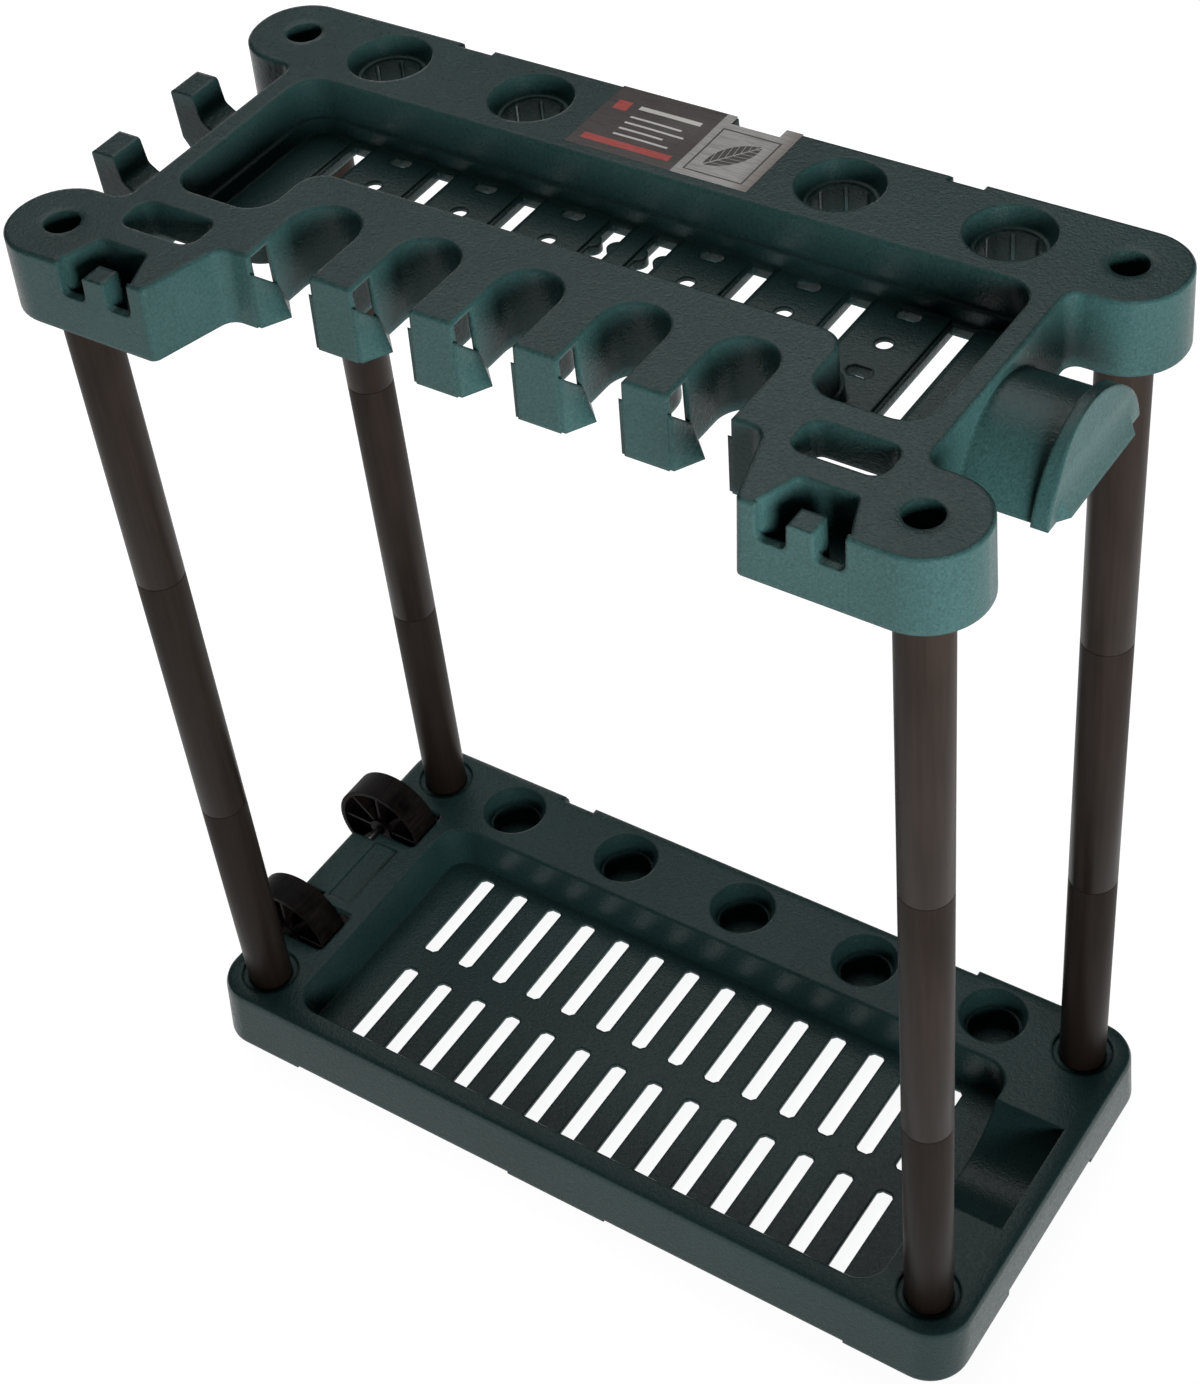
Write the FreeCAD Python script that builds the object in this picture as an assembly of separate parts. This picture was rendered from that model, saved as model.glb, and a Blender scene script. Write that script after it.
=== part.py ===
import FreeCAD, Part
import math
import os

from FreeCAD import Vector

# Freestanding rack for long garden tools: a slotted base tray on two wheels, a deep
# top tray with open slots and handle holes, and four poles of three tubes each.
# Millimetres. X runs along the rack, -Y is the side with the open slots, Z is up, and
# the poles stand round X = 0, Y = 0 until the finished pieces are moved in save_node.

# Whole rack
POLE_SPACING_X = 540.0
POLE_SPACING_Y = 220.0
SKIN = 3.0
EDGE_CHAMFER = 1.4
SIDE_DRAFT = 1.1
THROUGH = 2.0
SMALLEST_ROUND = 0.3

# Poles
TUBE_RADIUS = 15.75
TUBE_WALL = 1.4
TUBE_LENGTH = 240.0
SPIGOT_LENGTH = 32.0
SPIGOT_CLEARANCE = 0.15
SPIGOT_LAND = 6.0
SOCKET_CLEARANCE = 0.3

# Wheels and axle
WHEEL_RADIUS = 37.5
WHEEL_WIDTH = 24.0
WHEEL_BEYOND_POLE = 18.0
WHEEL_CENTRE_Y = 58.5
WHEEL_FLOOR_GAP = 0.7
WHEEL_RIM = 3.5
WHEEL_WEB = 3.0
WHEEL_HUB_RADIUS = 9.0
WHEEL_SPOKES = 8
WHEEL_SPOKE_WIDTH = 2.4
WHEEL_SPOKE_SET_BACK = 2.0
AXLE_RADIUS = 4.0
AXLE_FIT = 0.1
AXLE_SEAT_CLEARANCE = 0.3
AXLE_COVER = 7.8
CAP_WALL = 3.9
CAP_THICKNESS = 4.0
CAP_BORE_DEPTH = 2.8
CAP_GAP = 0.4

# Wheel wells, round the wheels
WELL_END_GAP = 1.5
WELL_INNER_GAP = 8.5
WELL_OUTER_GAP = 6.5
WELL_NOTCH_REACH = 7.0
WELL_NOTCH_WIDTH = 8.0
WELL_CORNER = 4.0
WELL_SKIRT_LIFT = 5.0

# Base tray
BASE_END_MARGIN = 32.2
BASE_SIDE_MARGIN = 35.8
BASE_CORNER = 28.0
BASE_TOP_INSET_Y = 5.0
BASE_SHOULDER = 5.0
BASE_SOCKET_DEPTH = 28.0
SOCKET_RIM = 4.65
SOCKET_RIM_DEPTH = 2.2
HEM_LIFT = 2.0
HEM_FOOT_OUTER = 226.0
HEM_FOOT_INNER = 40.0
END_HEM_LIFT = 5.0
END_HEM_HALF = 60.0
END_HEM_REACH = 28.0
RIB_WIDTH = 2.4
RIB_HEIGHT = 14.0
PANEL_MARGIN = 24.2
PANEL_LENGTH = 20.0
PANEL_HALF_WIDTH = 30.0
PANEL_DEPTH = 1.2

# Grating tray in the base
TRAY_END_GAP = 32.5
TRAY_BACK_GAP = 37.0
TRAY_FRONT_REACH = 14.2
TRAY_CORNER = 20.0
TRAY_DEPTH = 33.0
TRAY_DRAFT = 2.5
GRATE_COUNT = 14
GRATE_WIDTH = 12.0
GRATE_CORNER = 2.8
GRATE_END_MARGIN = 38.4
GRATE_BACK_MARGIN = 11.2
GRATE_FRONT_MARGIN = 8.5
GRATE_ROW_GAP = 19.9

# Handle places, the same grid in both trays
HANDLE_COUNT = 5
HANDLE_PITCH = 101.7
HANDLE_SET_IN = 2.0
CUP_RADIUS = 20.1
CUP_RIM = 3.9
CUP_RIM_DEPTH = 6.0
CUP_DEPTH = 32.0
CUP_SEAT_HEIGHT = 18.0
CUP_SEAT_RADIUS = 18.0

# Trowel pocket in the base
POCKET_TRAY_OVERLAP = 9.5
POCKET_BEYOND_POLE = 18.5
POCKET_HALF_WIDTH = 45.0
POCKET_SCOOP_RADIUS = 50.0
POCKET_DEPTH = 32.0

# Top tray
TOP_HEIGHT = 46.0
EAR_ROOF = 23.8
EAR_MARGIN = 33.5
EAR_ROUND = 33.0
BACK_MARGIN = 31.7
BACK_ROUND = 31.5
END_WALL_INSET = 17.0
END_FILLET = 9.0
BLOCK_SET_IN = 84.0
BLOCK_REACH = 30.5
BLOCK_CORNER = 4.0
BLOCK_HEEL = 14.0
BLOCK_HEEL_FILLET = 11.0
FRONT_WALL_SET_IN = 20.0
FRONT_DRAFT = 2.4
EAR_HOLE_INSET = 5.15
EAR_RING = 5.4
EAR_RING_DEPTH = 0.8
EAR_BOSS_WALL = 3.45

# Open slots along the front of the top tray, each as its centre and its width
FRONT_SLOTS = ((-131.9, 43.2), (-63.65, 39.3), (2.65, 39.3), (68.95, 39.3), (134.3, 37.4))
FRONT_SLOT_DEPTH = 60.0
FRONT_SLOT_FLAT = 0.1
NUB_REACH = 11.3
NUB_TIP_BACK = 13.2
NUB_LENGTH = 26.0
NUB_WINDOW_LENGTH = 18.5
NUB_FRONT_DROP = 11.5
NUB_BACK_DROP = 30.0
NUB_FRONT_STAND = 2.3
NUB_BACK_STAND = 0.5
NUB_SHELL = 3.6

# Slotted well of the top tray
WELL_END_INSET = 31.5
WELL_BACK_INSET = 38.0
WELL_FRONT_INSET = 56.0
WELL_SLOT_GAP = 24.0
WELL_MIDDLE_INSET = 97.2
WELL_ROUND = 17.0
WELL_LEDGE_DEPTH = 25.0
WELL_LEDGE_WIDTH = 2.5
WELL_FLOOR_DEPTH = 35.0
RAIL_COUNT = 4
RAIL_WIDTH = 13.0
RAIL_BACK_MARGIN = 6.0
RAIL_FRONT_MARGIN = 12.0
RAIL_END_MARGIN = 14.0
RAIL_LIP = 2.4
RAIL_LIP_DEPTH = 1.2
RAIL_FIRST = 15.25
RAIL_PITCH = 61.1
PINCH_RADIUS = 6.0
PINCH_BACK_MARGIN = 25.0
PINCH_REACH = 4.0
PEG_HOLE_LENGTH = 14.5
PEG_HOLE_WIDTH = 8.5
PEG_HOLE_CORNER = 2.5
PEG_HOLE_BACK_MARGIN = 10.0
PEG_HOLE_ROW_PITCH = 26.5
ROUND_PEG_HOLE_RADIUS = 5.0
WELL_SKIRT = 7.5

# Handle holes of the top tray
BOWL_RADIUS = 25.3
BOWL_DEPTH = 11.0
BOWL_FOOT = 2.4
COLLAR_RADIUS = 18.5
COLLAR_WALL = 2.4
COLLAR_DEPTH = 34.0
COLLAR_SLITS = 8
COLLAR_SLIT_WIDTH = 2.0

# Belt slots beside the front ears
BELT_SLOT_SET_IN = 30.0
BELT_SLOT_LENGTH = 51.0
BELT_SLOT_FRONT_INSET = 13.5
BELT_SLOT_WIDTH = 24.0
BELT_SLOT_ROUND = 8.0
BELT_SLOT_TAPER = 3.0
BELT_SLOT_DEPTH = 20.0

# Hook pockets in the front corners
HOOK_SET_IN = 48.5
HOOK_FRONT_HALF = 25.0
HOOK_BACK_HALF = 16.0
HOOK_BACK_REACH = 3.5
HOOK_CORNER = 4.0
HOOK_DEPTH = 30.0
HOOK_SILL_DROP = 21.0
HOOK_SILL_ROUND = 4.5
HOOK_POST_HALF = 7.5
HOOK_POST_TOP_DROP = 5.0
HOOK_POST_REACH = 12.5
HOOK_POST_EDGE = 2.0

# Side hooks on the wheel end
SIDE_HOOK_Y = (35.0, -36.0)
SIDE_HOOK_WIDTH = 23.0
SIDE_HOOK_TIP = 17.5
SIDE_HOOK_TIP_ROUND = 2.5
SIDE_HOOK_BEND = 5.0
SIDE_HOOK_TIP_LEAN = 1.7
SIDE_HOOK_KNEE_RISE = 12.0
SIDE_HOOK_MOUTH_DROP = 21.0
SIDE_HOOK_FOOT_DROP = 44.0

# Hose drum on the other end
DRUM_RADIUS = 49.5
DRUM_TOP_DROP = 6.5
DRUM_BOTTOM_DROP = 44.0
DRUM_FLANGE_SET_IN = 7.8
DRUM_FLANGE_RADIUS = 51.8
DRUM_FLANGE_TOP_DROP = 1.0
DRUM_FLANGE_THICKNESS = 9.7
DRUM_FLANGE_LEAN = 3.4
DRUM_LEAN_DROP = 21.0
DRUM_LIP_REACH = 4.9
DRUM_LIP_TOP_DROP = 33.0
DRUM_LIP_TOP_HALF = 38.0
DRUM_LIP_FOOT_HALF = 42.0
DRUM_LIP_TIP_HALF = 35.7

# Notches in the back edges, as centre, half width and depth
TOP_BACK_NOTCHES = ((162.0, 10.0, 4.0), (32.75, 15.75, 8.0), (-162.0, 11.0, 4.0))
BASE_BACK_NOTCHES = ((163.0, 12.0, 4.0), (-163.5, 12.5, 4.0))

# Places that follow from the sizes above
POLE_X = POLE_SPACING_X / 2
POLE_Y = POLE_SPACING_Y / 2
AXLE_Z = WHEEL_RADIUS + WHEEL_FLOOR_GAP
WHEEL_CENTRE_X = -(POLE_X + WHEEL_BEYOND_POLE)
WELL_INNER_X = WHEEL_CENTRE_X + WHEEL_RADIUS + WELL_END_GAP
WELL_INNER_Y = WHEEL_CENTRE_Y - WHEEL_WIDTH / 2 - WELL_INNER_GAP
WELL_OUTER_Y = WHEEL_CENTRE_Y + WHEEL_WIDTH / 2 + WELL_OUTER_GAP
BASE_HEIGHT = AXLE_Z + AXLE_COVER
BASE_HALF_X = POLE_X + BASE_END_MARGIN
BASE_HALF_Y = POLE_Y + BASE_SIDE_MARGIN
SOCKET_FLOOR = BASE_HEIGHT - BASE_SOCKET_DEPTH
SOCKET_RADIUS = TUBE_RADIUS + SOCKET_CLEARANCE
TRAY_HALF_LENGTH = POLE_X - TRAY_END_GAP
TRAY_BACK = POLE_Y - TRAY_BACK_GAP
TRAY_FRONT = -(POLE_Y + TRAY_FRONT_REACH)
HANDLE_Y = POLE_Y - HANDLE_SET_IN
TUBE_STEP = TUBE_LENGTH - SPIGOT_LENGTH
POLE_TOP = SOCKET_FLOOR + 2 * TUBE_STEP + TUBE_LENGTH
TOP_SURFACE = POLE_TOP + EAR_ROOF
TOP_UNDERSIDE = TOP_SURFACE - TOP_HEIGHT
EAR_REACH_X = POLE_X + EAR_MARGIN
END_WALL_X = POLE_X - END_WALL_INSET
BLOCK_FRONT = -(POLE_Y + BLOCK_REACH)
FRONT_WALL = -(POLE_Y - FRONT_WALL_SET_IN)
FRONT_SLOT_END = FRONT_WALL + FRONT_SLOT_DEPTH
WELL_HALF_LENGTH = POLE_X - WELL_END_INSET
WELL_BACK = POLE_Y - WELL_BACK_INSET
WELL_FRONT = -(POLE_Y - WELL_FRONT_INSET)
WELL_MIDDLE_FRONT = FRONT_SLOT_END + WELL_SLOT_GAP
WELL_MIDDLE_HALF = POLE_X - WELL_MIDDLE_INSET
DRUM_FLANGE_X = EAR_REACH_X - DRUM_FLANGE_SET_IN
OVERALL_RIGHT = DRUM_FLANGE_X + DRUM_FLANGE_THICKNESS + DRUM_LIP_REACH
OVERALL_LEFT = WHEEL_CENTRE_X - WHEEL_RADIUS
FRAME_SHIFT = Vector(-(OVERALL_RIGHT + OVERALL_LEFT) / 2, 0, 0)


def outline_wire(corners, z):
    """Closed wire through (x, y, radius) corners, each an arc of its radius, or sharp where it is 0."""
    starts = []
    ends = []
    middles = []
    count = len(corners)
    for index in range(count):
        x, y, radius = corners[index]
        corner = Vector(x, y, z)
        before = Vector(corners[index - 1][0], corners[index - 1][1], z) - corner
        after = Vector(corners[(index + 1) % count][0], corners[(index + 1) % count][1], z) - corner
        before.normalize()
        after.normalize()
        half = before.getAngle(after) / 2
        setback = radius / math.tan(half)
        inward = before + after
        inward.normalize()
        centre = corner + inward * (radius / math.sin(half))
        starts.append(corner + before * setback)
        ends.append(corner + after * setback)
        middles.append(centre - inward * radius)
    edges = []
    for index in range(count):
        if corners[index][2] > 0:
            edges.append(Part.Arc(starts[index], middles[index], ends[index]).toShape())
        following = starts[(index + 1) % count]
        if ends[index].distanceToPoint(following) > 0.001:
            edges.append(Part.LineSegment(ends[index], following).toShape())
    return Part.Wire(edges)


def grow(corners, distance):
    """The outline moved outwards by a distance, or inwards where it is negative.

    Corners run anticlockwise. Round corners keep their centres, and sharp ones stay sharp."""
    moved = []
    count = len(corners)
    for index in range(count):
        x, y, radius = corners[index]
        x0, y0 = corners[index - 1][:2]
        x1, y1 = corners[(index + 1) % count][:2]
        first = Vector(x - x0, y - y0, 0)
        second = Vector(x1 - x, y1 - y, 0)
        first.normalize()
        second.normalize()
        turn = first.x * second.y - first.y * second.x
        normal = Vector(first.y + second.y, -first.x - second.x, 0)
        normal = normal * (distance / (1 + first.dot(second)))
        sign = 1 if turn > 0 else -1
        moved_radius = max(radius + sign * distance, SMALLEST_ROUND) if radius > 0 else 0
        moved.append((x + normal.x, y + normal.y, moved_radius))
    return moved


def prism(corners, low, high):
    """Upright solid of one outline between two heights."""
    return Part.Face(outline_wire(corners, low)).extrude(Vector(0, 0, high - low))


def stack(levels):
    """Solid through outlines at several heights, given as (z, corners)."""
    wires = [outline_wire(corners, z) for z, corners in levels]
    return Part.makeLoft(wires, True, True)


def block(x0, x1, y0, y1, z0, z1):
    """Box between two corners."""
    return Part.makeBox(x1 - x0, y1 - y0, z1 - z0, Vector(x0, y0, z0))


def column(x, y, radius, low, high):
    """Upright cylinder."""
    return Part.makeCylinder(radius, high - low, Vector(x, y, low))


def turned(profile, place, axis=Vector(0, 0, 1)):
    """Solid turned from (radius, height) points about an axis through a place."""
    points = [Vector(radius, 0, height) for radius, height in profile]
    face = Part.Face(Part.makePolygon(points + points[:1]))
    solid = face.revolve(Vector(0, 0, 0), Vector(0, 0, 1), 360)
    solid.Placement = FreeCAD.Placement(place, FreeCAD.Rotation(Vector(0, 0, 1), axis))
    return solid


def fuse(shapes):
    """One shape from several that touch or overlap."""
    shapes = list(shapes)
    return shapes[0].multiFuse(shapes[1:]) if len(shapes) > 1 else shapes[0]


def softened_cut(corners, low, high, draft=0.0):
    """Cutter for an opening with drafted walls and a chamfered top edge."""
    wide = grow(corners, EDGE_CHAMFER + THROUGH)
    return stack([(low, grow(corners, -draft)), (high - EDGE_CHAMFER, corners), (high + THROUGH, wide)])


def rectangle(x0, x1, y0, y1, radius=0.0):
    """Anticlockwise corners of a rectangle."""
    return [(x1, y1, radius), (x0, y1, radius), (x0, y0, radius), (x1, y0, radius)]


def cropped_rectangle(x0, x1, y0, y1, crop):
    """Anticlockwise corners of a rectangle with its four corners cut off at 45 degrees."""
    return [(x1, y1 - crop, 0), (x1 - crop, y1, 0), (x0 + crop, y1, 0), (x0, y1 - crop, 0),
            (x0, y0 + crop, 0), (x0 + crop, y0, 0), (x1 - crop, y0, 0), (x1, y0 + crop, 0)]


def notched_back(y, notches):
    """Corners of a back edge, from right to left, with a step inwards at each notch."""
    points = []
    for centre, half, depth in notches:
        points.append((centre + half, y, 0))
        points.append((centre + half, y - depth, 0))
        points.append((centre - half, y - depth, 0))
        points.append((centre - half, y, 0))
    return points


def four_corners():
    """The four pole places, with the words for each."""
    places = []
    for depth_word, side_y in (("front", -1), ("back", 1)):
        for side_word, side_x in (("left", -1), ("right", 1)):
            places.append((depth_word + "_" + side_word, side_x * POLE_X, side_y * POLE_Y))
    return places


def handle_places():
    """X of each handle place in the row."""
    first = -(HANDLE_COUNT - 1) / 2
    return [(first + index) * HANDLE_PITCH for index in range(HANDLE_COUNT)]


def save_node(name, shape):
    """Write one piece, moved so that the origin is under the middle of the whole rack."""
    placed = shape.copy()
    placed.translate(FRAME_SHIFT)
    placed.exportStep("parts/" + name + ".step")


def wheel_wells():
    """Outlines of the two wheel wells, open at the wheel end of the base."""
    outer = -BASE_HALF_X - THROUGH
    notch_x = WHEEL_CENTRE_X + WELL_NOTCH_REACH
    notch_y = WELL_INNER_Y - WELL_NOTCH_WIDTH
    back = [
        (WELL_INNER_X, WELL_OUTER_Y, WELL_CORNER), (outer, WELL_OUTER_Y, 0), (outer, notch_y, 0),
        (notch_x, notch_y, 0), (notch_x, WELL_INNER_Y, 0), (WELL_INNER_X, WELL_INNER_Y, WELL_CORNER),
    ]
    front = [(x, -y, radius) for x, y, radius in reversed(back)]
    return [back, front]


def base_outline(inset_y):
    """Outer outline of the base, with its back notches."""
    half_y = BASE_HALF_Y - inset_y
    corners = [(BASE_HALF_X, half_y, BASE_CORNER)] + notched_back(half_y, BASE_BACK_NOTCHES)
    corners += [(-BASE_HALF_X, half_y, BASE_CORNER), (-BASE_HALF_X, -half_y, BASE_CORNER)]
    return corners + [(BASE_HALF_X, -half_y, BASE_CORNER)]


def grating_slots(floor):
    """Two rows of slots with cropped corners through the floor of the base tray."""
    cutters = []
    first = GRATE_END_MARGIN - TRAY_HALF_LENGTH
    pitch = -2 * first / (GRATE_COUNT - 1)
    length = (TRAY_BACK - TRAY_FRONT - GRATE_BACK_MARGIN - GRATE_FRONT_MARGIN - GRATE_ROW_GAP) / 2
    half = GRATE_WIDTH / 2
    for y0 in (TRAY_FRONT + GRATE_FRONT_MARGIN, TRAY_BACK - GRATE_BACK_MARGIN - length):
        for index in range(GRATE_COUNT):
            x = first + index * pitch
            slot = cropped_rectangle(x - half, x + half, y0, y0 + length, GRATE_CORNER)
            cutters.append(prism(slot, floor - SKIN - THROUGH, floor + THROUGH))
    return cutters


def trowel_pocket():
    """Scooped pocket that opens out of the base tray, and the shell round it."""
    inner = TRAY_HALF_LENGTH - POCKET_TRAY_OVERLAP
    outer = POLE_X + POCKET_BEYOND_POLE
    outline = rectangle(inner, outer, -POCKET_HALF_WIDTH, POCKET_HALF_WIDTH)
    axis_z = BASE_HEIGHT - POCKET_DEPTH + POCKET_SCOOP_RADIUS
    solids = []
    for extra in (0.0, SKIN):
        drum = Part.makeCylinder(POCKET_SCOOP_RADIUS + extra, outer - inner + 2 * SKIN,
                                 Vector(inner - SKIN, 0, axis_z), Vector(1, 0, 0))
        solids.append(drum.common(prism(grow(outline, extra), 0, BASE_HEIGHT + THROUGH - extra)))
    return solids


def pole_socket(x, y):
    """Socket with a recessed rim that one pole stands in, and the boss round it."""
    top = BASE_HEIGHT
    step = top - SOCKET_RIM_DEPTH
    rim = SOCKET_RADIUS + SOCKET_RIM
    opening = turned([(0, SOCKET_FLOOR), (SOCKET_RADIUS, SOCKET_FLOOR), (SOCKET_RADIUS, step), (rim, step),
                      (rim, top + THROUGH), (0, top + THROUGH)], Vector(x, y, 0))
    return opening, column(x, y, SOCKET_RADIUS + SKIN, SOCKET_FLOOR - SKIN, top)


def handle_cup(x):
    """Blind cup for the foot of a tool handle, and the boss round it.

    A ledge narrows the cup to just under the radius of the collar above, so that one handle fits both.
    """
    top = BASE_HEIGHT
    floor = top - CUP_DEPTH
    rim = CUP_RADIUS + CUP_RIM
    opening = turned([(0, floor), (CUP_SEAT_RADIUS, floor), (CUP_SEAT_RADIUS, floor + CUP_SEAT_HEIGHT),
                      (CUP_RADIUS, floor + CUP_SEAT_HEIGHT), (CUP_RADIUS, top - CUP_RIM_DEPTH), (rim, top),
                      (rim, top + THROUGH), (0, top + THROUGH)], Vector(x, HANDLE_Y, 0))
    return opening, column(x, HANDLE_Y, CUP_RADIUS + SKIN, floor - SKIN, top)


def hem_cuts():
    """Lifts in the lower edge between the feet, and the axle's open seats in it."""
    reach = BASE_HALF_Y + THROUGH
    cutters = []
    for side in (-1, 1):
        x0, x1 = sorted((side * HEM_FOOT_INNER, side * HEM_FOOT_OUTER))
        cutters.append(block(x0, x1, -reach, reach, -THROUGH, HEM_LIFT))
        x0, x1 = sorted((side * (BASE_HALF_X - END_HEM_REACH), side * (BASE_HALF_X + THROUGH)))
        cutters.append(block(x0, x1, -END_HEM_HALF, END_HEM_HALF, -THROUGH, END_HEM_LIFT))
    seat = AXLE_RADIUS + AXLE_SEAT_CLEARANCE
    cutters.append(block(WHEEL_CENTRE_X - seat, WHEEL_CENTRE_X + seat, -WELL_INNER_Y, WELL_INNER_Y,
                         -THROUGH, AXLE_Z))
    cutters.append(Part.makeCylinder(seat, 2 * WELL_INNER_Y, Vector(WHEEL_CENTRE_X, -WELL_INNER_Y, AXLE_Z),
                                     Vector(0, 1, 0)))
    return cutters


def make_base_tray():
    """Moulded base: skirt, deck, grating tray, cups, pole sockets, pocket and wheel wells."""
    top = BASE_HEIGHT
    low = base_outline(0)
    high = base_outline(BASE_TOP_INSET_Y)
    levels = [(0, low), (top - BASE_SHOULDER, high)]
    for degrees in (45, 90):
        inset = BASE_SHOULDER * (1 - math.cos(math.radians(degrees)))
        rise = BASE_SHOULDER * (1 - math.sin(math.radians(degrees)))
        levels.append((top - rise, grow(high, -inset)))
    body = stack(levels)

    tray = rectangle(-TRAY_HALF_LENGTH, TRAY_HALF_LENGTH, TRAY_FRONT, TRAY_BACK, TRAY_CORNER)
    floor = top - TRAY_DEPTH
    wells = wheel_wells()
    scoop, scoop_shell = trowel_pocket()

    keepers = [prism(grow(tray, SKIN), floor - SKIN, top), scoop_shell]
    openings = [softened_cut(tray, floor, top, TRAY_DRAFT), scoop] + grating_slots(floor) + hem_cuts()
    round_places = [handle_cup(x) for x in handle_places()]
    round_places += [pole_socket(x, y) for _, x, y in four_corners()]
    for opening, boss in round_places:
        openings.append(opening)
        keepers.append(boss)
    for well in wells:
        keepers.append(prism(grow(well, SKIN), WELL_SKIRT_LIFT, top))
        openings.append(prism(well, -THROUGH, top + THROUGH))
    for x in handle_places()[:-1]:
        rib_x = x + HANDLE_PITCH / 2
        keepers.append(block(rib_x - RIB_WIDTH / 2, rib_x + RIB_WIDTH / 2, TRAY_BACK, BASE_HALF_Y,
                             top - SKIN - RIB_HEIGHT, top))
    panel_x = PANEL_MARGIN - BASE_HALF_X
    panel = rectangle(panel_x, panel_x + PANEL_LENGTH, -PANEL_HALF_WIDTH, PANEL_HALF_WIDTH)
    openings.append(prism(panel, top - PANEL_DEPTH, top + THROUGH))

    hollow = stack([(-THROUGH, grow(low, -SKIN)), (top - BASE_SHOULDER, grow(high, -SKIN)),
                    (top - SKIN, grow(high, -BASE_SHOULDER))])
    return body.cut(hollow.cut(fuse(keepers))).cut(fuse(openings))


def top_outline(front_drop):
    """Outer outline of the top tray at one height, before the open slots are cut."""
    block_x = POLE_X - BLOCK_SET_IN
    ear_inner = POLE_Y - EAR_MARGIN
    ear_front = -(POLE_Y + EAR_MARGIN)
    back = POLE_Y + BACK_MARGIN
    right = [
        (block_x - BLOCK_HEEL, FRONT_WALL - front_drop, BLOCK_HEEL_FILLET),
        (block_x, BLOCK_FRONT - front_drop, BLOCK_CORNER),
        (EAR_REACH_X, ear_front, EAR_ROUND), (EAR_REACH_X, -ear_inner, EAR_ROUND),
        (END_WALL_X, -ear_inner, END_FILLET), (END_WALL_X, ear_inner, END_FILLET),
        (EAR_REACH_X, ear_inner, BACK_ROUND), (EAR_REACH_X, back, BACK_ROUND),
    ]
    left = [(-x, y, radius) for x, y, radius in reversed(right)]
    return right + notched_back(back, TOP_BACK_NOTCHES) + left


def front_slot(centre, width):
    """Outline of one open slot with a round inner end."""
    half = width / 2
    radius = half - FRONT_SLOT_FLAT / 2
    mouth = BLOCK_FRONT
    return [(centre + half, FRONT_SLOT_END, radius), (centre - half, FRONT_SLOT_END, radius),
            (centre - half, mouth, 0), (centre + half, mouth, 0)]


def well_outline():
    """Outline of the slotted well, wide at both ends and narrow behind the open slots."""
    half = WELL_HALF_LENGTH
    middle = WELL_MIDDLE_HALF
    return [
        (half, WELL_BACK, WELL_ROUND), (-half, WELL_BACK, WELL_ROUND),
        (-half, WELL_FRONT, WELL_ROUND), (-middle, WELL_FRONT, WELL_ROUND),
        (-middle, WELL_MIDDLE_FRONT, WELL_ROUND), (middle, WELL_MIDDLE_FRONT, WELL_ROUND),
        (middle, WELL_FRONT, WELL_ROUND), (half, WELL_FRONT, WELL_ROUND),
    ]


def polygon_faces(rings):
    """Flat faces from rings of points."""
    return [Part.Face(Part.makePolygon(ring + ring[:1])) for ring in rings]


def closed_solid(faces):
    """Solid inside faces that close on each other."""
    shell = Part.makeShell(faces)
    shell.sewShape()
    solid = Part.makeSolid(shell)
    if solid.Volume < 0:
        solid.reverse()
    return solid


def front_face(drop):
    """Y of the drafted front face at a drop below the top surface."""
    return FRONT_WALL - FRONT_DRAFT * (drop - EDGE_CHAMFER) / (TOP_HEIGHT - EDGE_CHAMFER)


def snap_nub(edge, side):
    """Catch that leans into one side of a slot's mouth, its hollow, and the window above it.

    The catch is flush with the front face. Its outer face twists from the window's sloping lower edge,
    close to the slot wall, to a tip at the hem that narrows the mouth.
    """
    inside = edge - side
    window_end = FRONT_WALL + NUB_WINDOW_LENGTH
    shoulder = TOP_SURFACE - NUB_FRONT_DROP
    heel = TOP_SURFACE - NUB_BACK_DROP
    toe_y = front_face(TOP_HEIGHT)
    shoulder_y = front_face(NUB_FRONT_DROP)
    stand = edge + side * NUB_FRONT_STAND
    toe_in = Vector(inside, toe_y, TOP_UNDERSIDE)
    toe = Vector(stand, toe_y, TOP_UNDERSIDE)
    tip = Vector(edge + side * NUB_REACH, FRONT_WALL + NUB_TIP_BACK, TOP_UNDERSIDE)
    root = Vector(inside, FRONT_WALL + NUB_LENGTH, TOP_UNDERSIDE)
    shoulder_in = Vector(inside, shoulder_y, shoulder)
    shoulder_out = Vector(stand, shoulder_y, shoulder)
    heel_in = Vector(inside, window_end, heel)
    heel_out = Vector(edge + side * NUB_BACK_STAND, window_end, heel)
    faces = polygon_faces([
        [toe_in, toe, shoulder_out, shoulder_in], [shoulder_in, shoulder_out, heel_out, heel_in],
        [toe_in, toe, tip, root], [toe_in, shoulder_in, heel_in, root], [tip, root, heel_out],
        [heel_out, root, heel_in],
    ])
    faces.append(Part.makeRuledSurface(Part.makeLine(toe, shoulder_out), Part.makeLine(tip, heel_out)))
    nub = closed_solid(faces)
    hollow = nub.copy()
    hollow.translate(Vector(-side * NUB_SHELL, 0, -SKIN))
    behind = edge - side * (SKIN + EDGE_CHAMFER)
    beyond = edge + side * THROUGH
    inner_front = FRONT_WALL + SKIN
    hollow = hollow.common(block(min(behind, tip.x), max(behind, tip.x), inner_front, root.y,
                                 TOP_UNDERSIDE - THROUGH, TOP_SURFACE))
    slope = (heel - shoulder) / (window_end - shoulder_y)
    sill = shoulder + slope * (inner_front - shoulder_y)
    lintel = TOP_SURFACE - SKIN
    corners = [Vector(behind, inner_front, sill), Vector(behind, window_end, heel),
               Vector(behind, window_end, lintel), Vector(behind, inner_front, lintel)]
    window = polygon_faces([corners])[0].extrude(Vector(beyond - behind, 0, 0))
    return nub, hollow, window


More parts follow.
